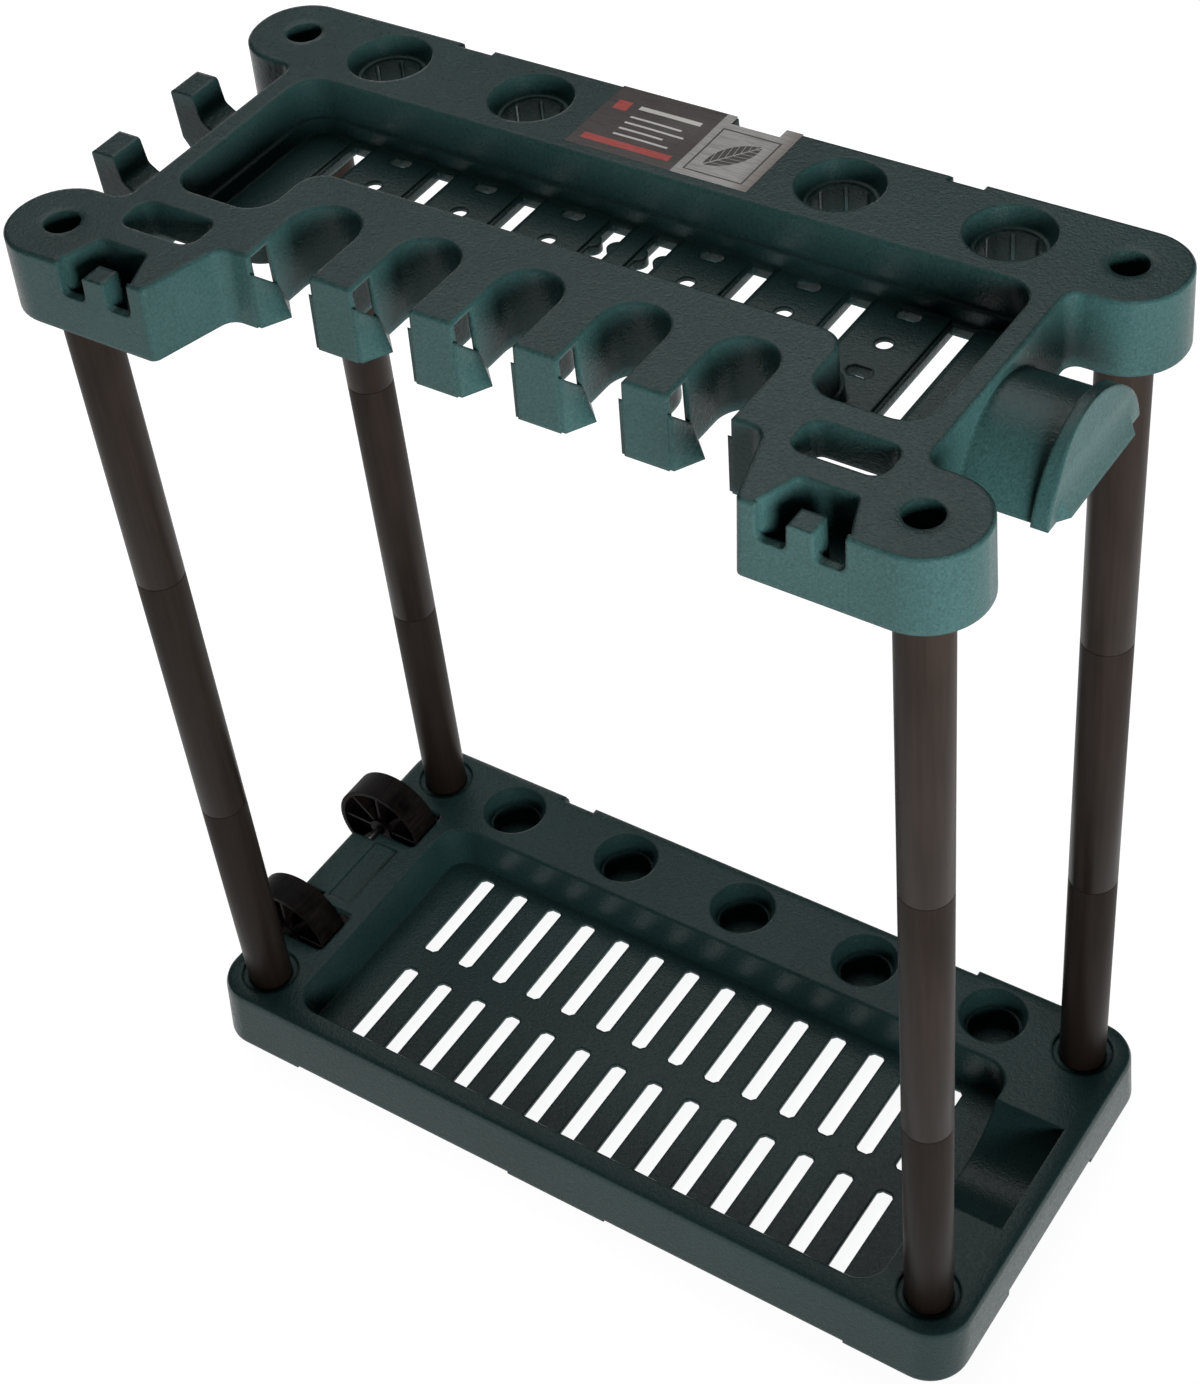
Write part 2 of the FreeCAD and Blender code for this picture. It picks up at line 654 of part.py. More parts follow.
def well_floor_cuts(floor):
    """Rails and peg holes through the floor of the well, and the skirts that hang below it round them."""
    low = floor - WELL_SKIRT - THROUGH
    high = floor + THROUGH
    half = RAIL_WIDTH / 2
    cutters = []
    skirts = []
    for side in (-1, 1):
        for index in range(RAIL_COUNT):
            x = side * (RAIL_FIRST + index * RAIL_PITCH)
            front = WELL_MIDDLE_FRONT + RAIL_FRONT_MARGIN
            if index == RAIL_COUNT - 1:
                front = WELL_FRONT + RAIL_END_MARGIN
            rail = rectangle(x - half, x + half, front, WELL_BACK - RAIL_BACK_MARGIN)
            through = prism(rail, low, high)
            skirts.append(prism(grow(rail, RAIL_LIP), floor - WELL_SKIRT, floor))
            if index == 0:
                centres = [x + flank * (half - PINCH_REACH + PINCH_RADIUS) for flank in (-1, 1)]
                through = through.cut([column(centre, WELL_BACK - PINCH_BACK_MARGIN, PINCH_RADIUS, low, high)
                                       for centre in centres])
            cutters.append(through)
            cutters.append(prism(grow(rail, RAIL_LIP), floor - RAIL_LIP_DEPTH, high))
        for index in range(RAIL_COUNT - 1):
            x = side * (RAIL_FIRST + (index + 0.5) * RAIL_PITCH)
            for row in range(3 if index == RAIL_COUNT - 2 else 2):
                y = WELL_BACK - PEG_HOLE_BACK_MARGIN - row * PEG_HOLE_ROW_PITCH
                if row == 1:
                    cutters.append(column(x, y, ROUND_PEG_HOLE_RADIUS, low, high))
                    continue
                hole = cropped_rectangle(x - PEG_HOLE_LENGTH / 2, x + PEG_HOLE_LENGTH / 2,
                                         y - PEG_HOLE_WIDTH / 2, y + PEG_HOLE_WIDTH / 2, PEG_HOLE_CORNER)
                cutters.append(prism(hole, low, high))
                skirts.append(prism(grow(hole, RAIL_LIP), floor - WELL_SKIRT, floor))
    return cutters, skirts


def handle_hole(x):
    """Boss and bowl-shaped hole with a slit collar for a tool handle."""
    top = TOP_SURFACE
    place = Vector(x, HANDLE_Y, 0)
    outer = COLLAR_RADIUS + COLLAR_WALL
    foot = top - COLLAR_DEPTH
    bowl = top - BOWL_DEPTH
    boss = turned([(0, foot), (outer, foot), (outer, bowl - SKIN), (BOWL_RADIUS + SKIN, bowl - SKIN),
                   (BOWL_RADIUS + SKIN, top - EDGE_CHAMFER), (0, top - EDGE_CHAMFER)], place)
    opening = turned([(0, foot - THROUGH), (COLLAR_RADIUS, foot - THROUGH), (COLLAR_RADIUS, bowl),
                      (COLLAR_RADIUS + BOWL_FOOT, bowl), (BOWL_RADIUS, top), (BOWL_RADIUS, top + THROUGH),
                      (0, top + THROUGH)], place)
    slits = []
    for index in range(COLLAR_SLITS):
        slit = block(0, outer + THROUGH, -COLLAR_SLIT_WIDTH / 2, COLLAR_SLIT_WIDTH / 2,
                     foot - THROUGH, bowl - SKIN)
        slit.rotate(Vector(0, 0, 0), Vector(0, 0, 1), 360 * (index + 0.5) / COLLAR_SLITS)
        slit.translate(place)
        slits.append(slit)
    return boss, [opening] + slits


def ear_hole(x, y):
    """Boss over one pole and its openings: the socket, the hole above it and a shallow dish round that."""
    top = TOP_SURFACE
    hole = TUBE_RADIUS - EAR_HOLE_INSET
    ring = hole + EAR_RING
    boss = column(x, y, SOCKET_RADIUS + EAR_BOSS_WALL, TOP_UNDERSIDE, top)
    opening = turned([(0, TOP_UNDERSIDE - THROUGH), (SOCKET_RADIUS, TOP_UNDERSIDE - THROUGH),
                      (SOCKET_RADIUS, POLE_TOP), (hole, POLE_TOP), (hole, top - EAR_RING_DEPTH), (ring, top),
                      (ring, top + THROUGH), (0, top + THROUGH)], Vector(x, y, 0))
    return boss, opening


def belt_slot(side):
    """Tapered slot through a front corner, and the wall round it."""
    outer = POLE_X - BELT_SLOT_SET_IN
    x0, x1 = sorted((side * (outer - BELT_SLOT_LENGTH), side * outer))
    front = -(POLE_Y - BELT_SLOT_FRONT_INSET)
    belt = rectangle(x0, x1, front, front + BELT_SLOT_WIDTH, BELT_SLOT_ROUND)
    foot = TOP_SURFACE - BELT_SLOT_DEPTH
    wall = prism(grow(belt, SKIN), foot, TOP_SURFACE)
    return wall, softened_cut(belt, foot - THROUGH, TOP_SURFACE, BELT_SLOT_TAPER)


def upright_prism(corners, near, far):
    """Solid of one outline, given as (x, z, radius), between two places along Y."""
    solid = prism(corners, -far, -near)
    solid.rotate(Vector(0, 0, 0), Vector(1, 0, 0), 90)
    return solid


def hook_pocket(side):
    """Walls and openings of one hook pocket in a front corner, with the post that stands in its mouth."""
    top = TOP_SURFACE
    x = side * (POLE_X - HOOK_SET_IN)
    front = BLOCK_FRONT + SKIN
    back = -(POLE_Y + HOOK_BACK_REACH)
    outside = BLOCK_FRONT - FRONT_DRAFT - THROUGH
    notch = [(x + HOOK_BACK_HALF, back, HOOK_CORNER), (x - HOOK_BACK_HALF, back, HOOK_CORNER),
             (x - HOOK_FRONT_HALF, front, 0), (x + HOOK_FRONT_HALF, front, 0)]
    wall = prism(grow(notch, SKIN), top - HOOK_DEPTH - SKIN, top)
    post_back = BLOCK_FRONT + HOOK_POST_REACH
    crown = top - HOOK_POST_TOP_DROP
    sill = top - HOOK_SILL_DROP
    post = rectangle(x - HOOK_POST_HALF, x + HOOK_POST_HALF, top - HOOK_DEPTH - SKIN / 2, crown)
    post[0] = post[0][:2] + (HOOK_POST_EDGE,)
    post[1] = post[1][:2] + (HOOK_POST_EDGE,)
    pocket = softened_cut(notch, top - HOOK_DEPTH, top).cut(upright_prism(post, outside, post_back))
    mouth = [
        (x + HOOK_FRONT_HALF, top + THROUGH, 0), (x - HOOK_FRONT_HALF, top + THROUGH, 0),
        (x - HOOK_FRONT_HALF, sill, HOOK_SILL_ROUND), (x - HOOK_POST_HALF, sill, HOOK_SILL_ROUND),
        (x - HOOK_POST_HALF, crown, HOOK_POST_EDGE), (x + HOOK_POST_HALF, crown, HOOK_POST_EDGE),
        (x + HOOK_POST_HALF, sill, HOOK_SILL_ROUND), (x + HOOK_FRONT_HALF, sill, HOOK_SILL_ROUND),
    ]
    return wall, [pocket, upright_prism(mouth, outside, front + THROUGH)]


def side_hook(centre_y):
    """One upturned hook on the wheel end."""
    top = TOP_SURFACE
    root = -END_WALL_X + SKIN
    tip = -EAR_REACH_X
    inner = tip + SIDE_HOOK_TIP
    mouth = top - SIDE_HOOK_MOUTH_DROP
    foot = top - SIDE_HOOK_FOOT_DROP
    bend = SIDE_HOOK_BEND
    corners = [
        (tip, top, SIDE_HOOK_TIP_ROUND), (tip + SIDE_HOOK_TIP_LEAN, foot + SIDE_HOOK_KNEE_RISE, bend),
        (tip + 2 * bend, foot, bend), (root, foot, 0), (root, mouth + bend / 2, 0),
        (inner + 2 * bend, mouth, bend),
        (inner + bend / 2, mouth + bend, bend), (inner, top, SIDE_HOOK_TIP_ROUND),
    ]
    hook = prism(corners, 0, SIDE_HOOK_WIDTH)
    hook.rotate(Vector(0, 0, 0), Vector(1, 0, 0), 90)
    hook.translate(Vector(0, centre_y + SIDE_HOOK_WIDTH / 2, 0))
    return hook


def hose_drum():
    """Half drum with an end flange that leans in at the top and flares into a lip at its foot."""
    axis = Vector(1, 0, 0)
    root_x = END_WALL_X - SKIN / 2
    inside_x = END_WALL_X + SIDE_DRAFT
    face = DRUM_FLANGE_X + DRUM_FLANGE_THICKNESS
    foot = TOP_SURFACE - DRUM_BOTTOM_DROP
    drum_z = TOP_SURFACE - DRUM_TOP_DROP - DRUM_RADIUS
    flange_z = TOP_SURFACE - DRUM_FLANGE_TOP_DROP - DRUM_FLANGE_RADIUS
    drum = Part.makeCylinder(DRUM_RADIUS, DRUM_FLANGE_X + SKIN - root_x, Vector(root_x, 0, drum_z), axis)
    flange = Part.makeCylinder(DRUM_FLANGE_RADIUS, DRUM_FLANGE_THICKNESS,
                               Vector(DRUM_FLANGE_X, 0, flange_z), axis)
    reach = DRUM_FLANGE_RADIUS + THROUGH
    above = TOP_SURFACE + THROUGH
    lean_start = TOP_SURFACE - DRUM_LEAN_DROP
    leant = DRUM_FLANGE_LEAN * (above - lean_start) / DRUM_LEAN_DROP
    lean = [Vector(face, -reach, lean_start), Vector(face - leant, -reach, above),
            Vector(face + THROUGH, -reach, above)]
    leaning = polygon_faces([lean])[0].extrude(Vector(0, 2 * reach, 0))
    below = block(root_x - THROUGH, face + THROUGH, -reach, reach, flange_z - reach, foot)
    hollow = Part.makeCylinder(DRUM_RADIUS - SKIN, face - DRUM_FLANGE_LEAN - SKIN - inside_x,
                               Vector(inside_x, 0, drum_z), axis)
    lip_top = TOP_SURFACE - DRUM_LIP_TOP_DROP
    top_front = Vector(face, -DRUM_LIP_TOP_HALF, lip_top)
    foot_front = Vector(face, -DRUM_LIP_FOOT_HALF, foot)
    tip_front = Vector(face + DRUM_LIP_REACH, -DRUM_LIP_TIP_HALF, foot)
    top_back, foot_back, tip_back = [Vector(v.x, -v.y, v.z) for v in (top_front, foot_front, tip_front)]
    lip = closed_solid(polygon_faces([
        [top_front, foot_front, tip_front], [top_back, foot_back, tip_back],
        [top_front, top_back, tip_back, tip_front], [foot_front, foot_back, tip_back, tip_front],
        [top_front, top_back, foot_back, foot_front],
    ]))
    return drum.fuse([flange.cut(leaning), lip]).cut(below).cut(hollow)


def make_top_tray():
    """Moulded top tray: skirt, plate, open slots, well, handle holes, hooks and drum."""
    top = TOP_SURFACE
    under = TOP_UNDERSIDE
    high = top_outline(0)
    low = grow(top_outline(FRONT_DRAFT), SIDE_DRAFT)
    body = stack([(under, low), (top - EDGE_CHAMFER, high), (top, grow(high, -EDGE_CHAMFER))])

    ledge = top - WELL_LEDGE_DEPTH
    floor = top - WELL_FLOOR_DEPTH
    well = well_outline()
    lower_well = grow(well, -WELL_LEDGE_WIDTH)
    keepers = [prism(grow(well, SKIN), ledge - SKIN, top), prism(grow(lower_well, SKIN), floor - SKIN, top)]
    openings = [softened_cut(well, ledge, top), prism(lower_well, floor, ledge + THROUGH)]
    floor_cuts, floor_skirts = well_floor_cuts(floor)
    keepers += floor_skirts
    openings += floor_cuts
    nubs = []
    nub_hollows = []
    windows = []
    for centre, width in FRONT_SLOTS:
        slot = front_slot(centre, width)
        keepers.append(prism(grow(slot, SKIN), under, top))
        openings.append(softened_cut(slot, under - THROUGH, top))
        for side in (-1, 1):
            nub, nub_hollow, window = snap_nub(centre - side * width / 2, side)
            nubs.append(nub)
            nub_hollows.append(nub_hollow)
            windows.append(window)
    for x in handle_places():
        boss, cuts = handle_hole(x)
        keepers.append(boss)
        openings += cuts
    for _, x, y in four_corners():
        boss, opening = ear_hole(x, y)
        keepers.append(boss)
        openings.append(opening)
    for side in (-1, 1):
        wall, opening = belt_slot(side)
        pocket_wall, cuts = hook_pocket(side)
        keepers += [wall, pocket_wall]
        openings += [opening] + cuts

    hollow = stack([(under - THROUGH, grow(low, -SKIN)), (top - SKIN, grow(high, -SKIN))])
    shell = body.cut(hollow.cut(fuse(keepers))).cut(fuse(openings + windows))
    shell = shell.fuse(nubs).cut(fuse(nub_hollows))
    return shell.fuse([side_hook(y) for y in SIDE_HOOK_Y] + [hose_drum()]).removeSplitter()


def tube_profile(with_spigot):
    """Half section of one pole tube, with or without a solid spigot that the next tube stands over."""
    inner = TUBE_RADIUS - TUBE_WALL
    if not with_spigot:
        return [(inner, 0), (TUBE_RADIUS, 0), (TUBE_RADIUS, TUBE_LENGTH), (inner, TUBE_LENGTH)]
    neck = inner - SPIGOT_CLEARANCE
    return [
        (inner, 0), (TUBE_RADIUS, 0), (TUBE_RADIUS, TUBE_STEP), (neck, TUBE_STEP), (neck, TUBE_LENGTH),
        (0, TUBE_LENGTH), (0, TUBE_STEP - SPIGOT_LAND), (inner, TUBE_STEP - SPIGOT_LAND),
    ]


def make_poles():
    """Twelve tubes, three in each corner."""
    tubes = []
    for corner, x, y in four_corners():
        for index, word in enumerate(("lower", "middle", "upper")):
            place = Vector(x, y, SOCKET_FLOOR + index * TUBE_STEP)
            tubes.append(("pole_" + corner + "_" + word, turned(tube_profile(word != "upper"), place)))
    return tubes


def make_wheel(centre_y):
    """Spoked wheel about an axis along Y."""
    half = WHEEL_WIDTH / 2
    rim = WHEEL_RADIUS - WHEEL_RIM
    bore = AXLE_RADIUS + AXLE_FIT
    web = WHEEL_WEB / 2
    profile = [
        (bore, -half), (WHEEL_HUB_RADIUS, -half), (WHEEL_HUB_RADIUS, -web), (rim, -web), (rim, -half),
        (WHEEL_RADIUS, -half), (WHEEL_RADIUS, half), (rim, half), (rim, web), (WHEEL_HUB_RADIUS, web),
        (WHEEL_HUB_RADIUS, half), (bore, half),
    ]
    reach = half - WHEEL_SPOKE_SET_BACK
    spokes = []
    for index in range(WHEEL_SPOKES):
        spoke = block(bore + SKIN / 2, rim + WHEEL_RIM / 2, -WHEEL_SPOKE_WIDTH / 2, WHEEL_SPOKE_WIDTH / 2,
                      -reach, reach)
        spoke.rotate(Vector(0, 0, 0), Vector(0, 0, 1), 360 * index / WHEEL_SPOKES)
        spokes.append(spoke)
    wheel = turned(profile, Vector(0, 0, 0)).fuse(spokes)
    wheel.rotate(Vector(0, 0, 0), Vector(1, 0, 0), 90)
    wheel.translate(Vector(WHEEL_CENTRE_X, centre_y, AXLE_Z))
    return wheel


def cap_inner_face():
    """Distance of each cap's inner face from the middle of the axle."""
    return WHEEL_CENTRE_Y + WHEEL_WIDTH / 2 + CAP_GAP


def make_axle():
    """Steel rod that both wheels run on, from the bottom of one cap's bore to the other's."""
    half = cap_inner_face() + CAP_BORE_DEPTH
    return Part.makeCylinder(AXLE_RADIUS, 2 * half, Vector(WHEEL_CENTRE_X, -half, AXLE_Z), Vector(0, 1, 0))


def make_axle_cap(side):
    """Push-on cap that keeps a wheel on the axle."""
    bore = AXLE_RADIUS + AXLE_FIT
    outer = bore + CAP_WALL
    profile = [(bore, 0), (outer, 0), (outer, CAP_THICKNESS), (0, CAP_THICKNESS), (0, CAP_BORE_DEPTH),
               (bore, CAP_BORE_DEPTH)]
    return turned(profile, Vector(WHEEL_CENTRE_X, side * cap_inner_face(), AXLE_Z), Vector(0, side, 0))


os.makedirs("parts", exist_ok=True)
nodes = [("base_tray", make_base_tray()), ("top_tray", make_top_tray())]
nodes += make_poles()
nodes.append(("axle", make_axle()))
for word, side in (("front", -1), ("back", 1)):
    nodes.append(("wheel_" + word, make_wheel(side * WHEEL_CENTRE_Y)))
    nodes.append(("axle_cap_" + word, make_axle_cap(side)))
for name, shape in nodes:
    save_node(name, shape)
    print(name, "solids", len(shape.Solids), "volume", round(shape.Volume), "valid", shape.isValid())
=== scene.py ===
"""Freestanding garden tool rack: two moulded trays on four poles, with a pair of wheels.

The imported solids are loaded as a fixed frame. Each moulding is a welded, smoothly shaded copy of its
solid, the pole tubes are turned again from their boxes with eased ends, and the printed label is a thin
sheet of its own on the top tray. Lengths are metres, and Z is up.
"""
import logging
import math
from dataclasses import dataclass, field
from enum import Enum

import bmesh
import bpy
import numpy as np
from mathutils import Matrix, Vector


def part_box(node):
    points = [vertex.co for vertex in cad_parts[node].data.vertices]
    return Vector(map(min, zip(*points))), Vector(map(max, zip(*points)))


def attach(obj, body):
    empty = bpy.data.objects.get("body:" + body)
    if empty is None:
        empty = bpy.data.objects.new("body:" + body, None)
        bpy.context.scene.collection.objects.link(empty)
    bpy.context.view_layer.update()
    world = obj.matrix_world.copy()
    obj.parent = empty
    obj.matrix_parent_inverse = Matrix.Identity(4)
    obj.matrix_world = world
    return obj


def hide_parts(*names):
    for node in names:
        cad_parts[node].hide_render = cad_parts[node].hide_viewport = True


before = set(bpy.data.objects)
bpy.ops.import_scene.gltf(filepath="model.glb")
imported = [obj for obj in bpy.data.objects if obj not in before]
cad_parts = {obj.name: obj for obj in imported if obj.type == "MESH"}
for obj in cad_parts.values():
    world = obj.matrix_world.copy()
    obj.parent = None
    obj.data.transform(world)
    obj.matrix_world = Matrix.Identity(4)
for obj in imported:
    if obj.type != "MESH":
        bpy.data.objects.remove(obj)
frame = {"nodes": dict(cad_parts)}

log = logging.getLogger("tool_rack")

Colour = tuple[float, float, float]
Point = tuple[float, float, float]
Range = tuple[float, float]

# Most values of a noise pattern lie in this range.
NOISE_RANGE: Range = (0.3, 0.7)
PLASTIC_IOR = 1.49
MILLIMETRES_PER_METRE = 1000.0


class Slot(Enum):
    """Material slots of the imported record."""

    TRAY = "tray_green"
    POLE = "pole_brown"
    WHEEL = "wheel_black"
    AXLE = "axle_steel"
    CAP = "cap_black"


class Corner(Enum):
    """The four corners that the poles stand in."""

    FRONT_LEFT = "front_left"
    FRONT_RIGHT = "front_right"
    BACK_LEFT = "back_left"
    BACK_RIGHT = "back_right"


class Level(Enum):
    """The three tubes of one pole, from the floor up."""

    LOWER = "lower"
    MIDDLE = "middle"
    UPPER = "upper"


def with_alpha(value: object) -> object:
    """A colour with full opacity added, and anything else as it is."""
    return (*value, 1.0) if isinstance(value, tuple) and len(value) == 3 else value


class Shader:
    """A node material under construction.

    Every pattern but the print starts from the Object coordinates, which are metres in the rack's frame.
    """

    edge_samples = 6

    def __init__(self, name: str) -> None:
        """Start an empty material with its output and its main shader.

        Args:
            name: Name of the material.
        """
        self.material = bpy.data.materials.new(name)
        self.material.use_nodes = True
        self.tree = self.material.node_tree
        self.tree.nodes.clear()
        self.output = self.tree.nodes.new("ShaderNodeOutputMaterial")
        self.surface = self.tree.nodes.new("ShaderNodeBsdfPrincipled")
        self.tree.links.new(self.surface.outputs["BSDF"], self.output.inputs["Surface"])
        self.place = self.tree.nodes.new("ShaderNodeTexCoord").outputs["Object"]

    def join(self, value: object, socket: bpy.types.NodeSocket) -> None:
        """Link a socket, or set a plain value.

        Args:
            value: Output socket, number or tuple.
            socket: Input socket that takes it.
        """
        if isinstance(value, bpy.types.NodeSocket):
            self.tree.links.new(value, socket)
        else:
            socket.default_value = value

    def stretched(self, scale: Point) -> bpy.types.NodeSocket:
        """Object coordinates scaled by axis, for streaks.

        Args:
            scale: Factor along X, Y and Z.

        Returns:
            The scaled coordinates.
        """
        node = self.tree.nodes.new("ShaderNodeMapping")
        node.inputs["Scale"].default_value = scale
        self.join(self.place, node.inputs["Vector"])
        return node.outputs["Vector"]

    def noise(self, per_metre: float, detail: float = 2.0, rough: float = 0.5,
              place: bpy.types.NodeSocket | None = None) -> bpy.types.NodeSocket:
        """Smooth noise from 0 to 1.

        Args:
            per_metre: Number of noise cells in a metre.
            detail: Number of finer layers.
            rough: Strength of the finer layers.
            place: Coordinates, where they aren't the plain ones.

        Returns:
            The noise value.
        """
        node = self.tree.nodes.new("ShaderNodeTexNoise")
        node.inputs["Scale"].default_value = per_metre
        node.inputs["Detail"].default_value = detail
        node.inputs["Roughness"].default_value = rough
        self.join(place or self.place, node.inputs["Vector"])
        return node.outputs["Fac"]

    def cells(self, per_metre: float) -> tuple[bpy.types.NodeSocket, bpy.types.NodeSocket]:
        """Scattered points.

        Args:
            per_metre: Number of points in a metre.

        Returns:
            The distance to the nearest point in cells, and a random colour for each point.
        """
        node = self.tree.nodes.new("ShaderNodeTexVoronoi")
        node.inputs["Scale"].default_value = per_metre
        self.join(self.place, node.inputs["Vector"])
        return node.outputs["Distance"], node.outputs["Color"]

    def maths(self, operation: str, first: object, second: object = 0.0,
              third: object = 0.0) -> bpy.types.NodeSocket:
        """One arithmetic step.

        Args:
            operation: Name of the operation in capitals.
            first: First value.
            second: Second value, where the operation has one.
            third: Third value, where the operation has one.

        Returns:
            The result, not clamped.
        """
        node = self.tree.nodes.new("ShaderNodeMath")
        node.operation = operation
        for value, socket in zip((first, second, third), node.inputs):
            self.join(value, socket)
        return node.outputs[0]

    def spread(self, value: bpy.types.NodeSocket, source: Range,
               target: Range = (0.0, 1.0)) -> bpy.types.NodeSocket:
        """A value carried from one range to another and held at its ends.

        Args:
            value: Value to carry over.
            source: Values that become the ends of the target.
            target: Results at the ends of the source.

        Returns:
            The carried value.
        """
        node = self.tree.nodes.new("ShaderNodeMapRange")
        for word, number in zip(("From Min", "From Max", "To Min", "To Max"), (*source, *target)):
            node.inputs[word].default_value = number
        self.join(value, node.inputs["Value"])
        return node.outputs["Result"]

    def within(self, value: bpy.types.NodeSocket, low: float, high: float) -> bpy.types.NodeSocket:
        """One between two limits, and nothing outside them.

        Args:
            value: Value to test.
            low: Lower limit.
            high: Upper limit.

        Returns:
            One or nothing.
        """
        return self.maths("MULTIPLY", self.maths("GREATER_THAN", value, low),
                          self.maths("LESS_THAN", value, high))

    def any_of(self, masks: list[bpy.types.NodeSocket]) -> bpy.types.NodeSocket:
        """The highest of several masks."""
        total = masks[0]
        for mask in masks[1:]:
            total = self.maths("MAXIMUM", total, mask)
        return total

    def blend(self, amount: bpy.types.NodeSocket, under: object, over: object) -> bpy.types.NodeSocket:
        """Two colours mixed by an amount.

        Args:
            amount: Share of the colour on top, from 0 to 1.
            under: Colour or colour socket below.
            over: Colour or colour socket on top.

        Returns:
            The mixed colour.
        """
        node = self.tree.nodes.new("ShaderNodeMix")
        node.data_type = "RGBA"
        self.join(amount, node.inputs["Factor"])
        for colour, word in ((under, "A"), (over, "B")):
            socket = next(s for s in node.inputs if s.name == word and s.type == "RGBA")
            self.join(with_alpha(colour), socket)
        return next(s for s in node.outputs if s.type == "RGBA")

    def eased_normal(self, radius: float) -> bpy.types.NodeSocket:
        """Normal that rounds the edges of a moulding.

        Args:
            radius: Radius of the rounding in metres.

        Returns:
            The rounded normal.
        """
        node = self.tree.nodes.new("ShaderNodeBevel")
        node.samples = self.edge_samples
        node.inputs["Radius"].default_value = radius
        return node.outputs["Normal"]

    def bump(self, height: bpy.types.NodeSocket, depth: float, strength: float,
             normal: bpy.types.NodeSocket | None = None) -> bpy.types.NodeSocket:
        """Relief from a height value.

        Args:
            height: Height from 0 to 1.
            depth: Depth of the relief in metres.
            strength: Share of the relief that shows.
            normal: Normal that the relief stands on, where it isn't the surface's own.

        Returns:
            The new normal.
        """
        node = self.tree.nodes.new("ShaderNodeBump")
        node.inputs["Distance"].default_value = depth
        node.inputs["Strength"].default_value = strength
        self.join(height, node.inputs["Height"])
        if normal is not None:
            self.join(normal, node.inputs["Normal"])
        return node.outputs["Normal"]

    def finish(self, **inputs: object) -> bpy.types.Material:
        """Fill the main shader and hand over the material.

        Args:
            **inputs: Values by socket name, with underscores for spaces.

        Returns:
            The finished material.
        """
        for word, value in inputs.items():
            self.join(with_alpha(value), self.surface.inputs[word.replace("_", " ")])
        return self.material


@dataclass(frozen=True)
class MouldedGreen:
    """Dark green injection-moulded plastic with a fine grain and a few pale specks."""

    deep: Colour = (0.0100, 0.0280, 0.0275)
    light: Colour = (0.0230, 0.0560, 0.0545)
    speck: Colour = (0.62, 0.68, 0.64)
    roughness: Range = (0.26, 0.36)
    specular: float = 0.19
    clouds_per_metre: float = 9.0
    grain_per_metre: float = 620.0
    grain_share: float = 0.6
    dimples_per_metre: float = 330.0
    dimple_height: float = 0.6
    specks_per_metre: float = 17.0
    speck_radius: float = 0.0006
    speck_threshold: float = 0.52
    edge_radius: float = 0.0028
    relief_depth: float = 0.0003
    relief_strength: float = 0.9

    def material(self) -> bpy.types.Material:
        """Colour from grain, slow clouds and rare specks, and relief from grain over eased edges.

        Returns:
            The plastic of both trays.
        """
        shader = Shader("moulded_green_plastic")
        clouds = shader.spread(shader.noise(self.clouds_per_metre, detail=3.0), NOISE_RANGE)
        grain = shader.noise(self.grain_per_metre, rough=0.6)
        dimples = shader.noise(self.dimples_per_metre)
        mottle = shader.spread(grain, NOISE_RANGE)
        distance, chance = shader.cells(self.specks_per_metre)
        near = shader.maths("LESS_THAN", distance, self.speck_radius * self.specks_per_metre)
        chosen = shader.maths("GREATER_THAN", chance, self.speck_threshold)
        slow = shader.maths("MULTIPLY", clouds, 1.0 - self.grain_share)
        amount = shader.maths("MULTIPLY_ADD", mottle, self.grain_share, slow)
        body = shader.blend(amount, self.deep, self.light)
        height = shader.maths("MULTIPLY_ADD", dimples, self.dimple_height, grain)
        edges = shader.eased_normal(self.edge_radius)
        return shader.finish(
            Base_Color=shader.blend(shader.maths("MULTIPLY", near, chosen), body, self.speck),
            Roughness=shader.spread(dimples, NOISE_RANGE, self.roughness),
            Normal=shader.bump(height, self.relief_depth, self.relief_strength, edges),
            IOR=PLASTIC_IOR,
            Specular_IOR_Level=self.specular,
        )


@dataclass(frozen=True)
class TubeBrown:
    """Dark brown satin plastic of the pole tubes, with faint draw lines along the pole."""

    deep: Colour = (0.0090, 0.0064, 0.0051)
    light: Colour = (0.0175, 0.0126, 0.0105)
    roughness: Range = (0.34, 0.46)
    specular: float = 0.09
    lines_per_metre: float = 420.0
    line_stretch: Point = (1.0, 1.0, 0.03)
    line_share: float = 0.5
    clouds_per_metre: float = 26.0
    cloud_stretch: Point = (1.0, 1.0, 0.35)
    grain_per_metre: float = 1500.0
    colour_range: Range = (0.5, 1.0)
    relief_depth: float = 0.00006
    relief_strength: float = 0.35

    def material(self) -> bpy.types.Material:
        """Colour and relief from noise drawn out along the pole.

        Returns:
            The plastic of the tubes.
        """
        shader = Shader("tube_brown_plastic")
        lines = shader.noise(self.lines_per_metre, place=shader.stretched(self.line_stretch))
        clouds = shader.noise(self.clouds_per_metre, detail=3.0, place=shader.stretched(self.cloud_stretch))
        grain = shader.noise(self.grain_per_metre)
        mixed = shader.maths("MULTIPLY_ADD", lines, self.line_share, clouds)
        height = shader.maths("MULTIPLY_ADD", lines, self.line_share, grain)
        return shader.finish(
            Base_Color=shader.blend(shader.spread(mixed, self.colour_range), self.deep, self.light),
            Roughness=shader.spread(clouds, NOISE_RANGE, self.roughness),
            Normal=shader.bump(height, self.relief_depth, self.relief_strength),
            IOR=PLASTIC_IOR,
            Specular_IOR_Level=self.specular,
        )


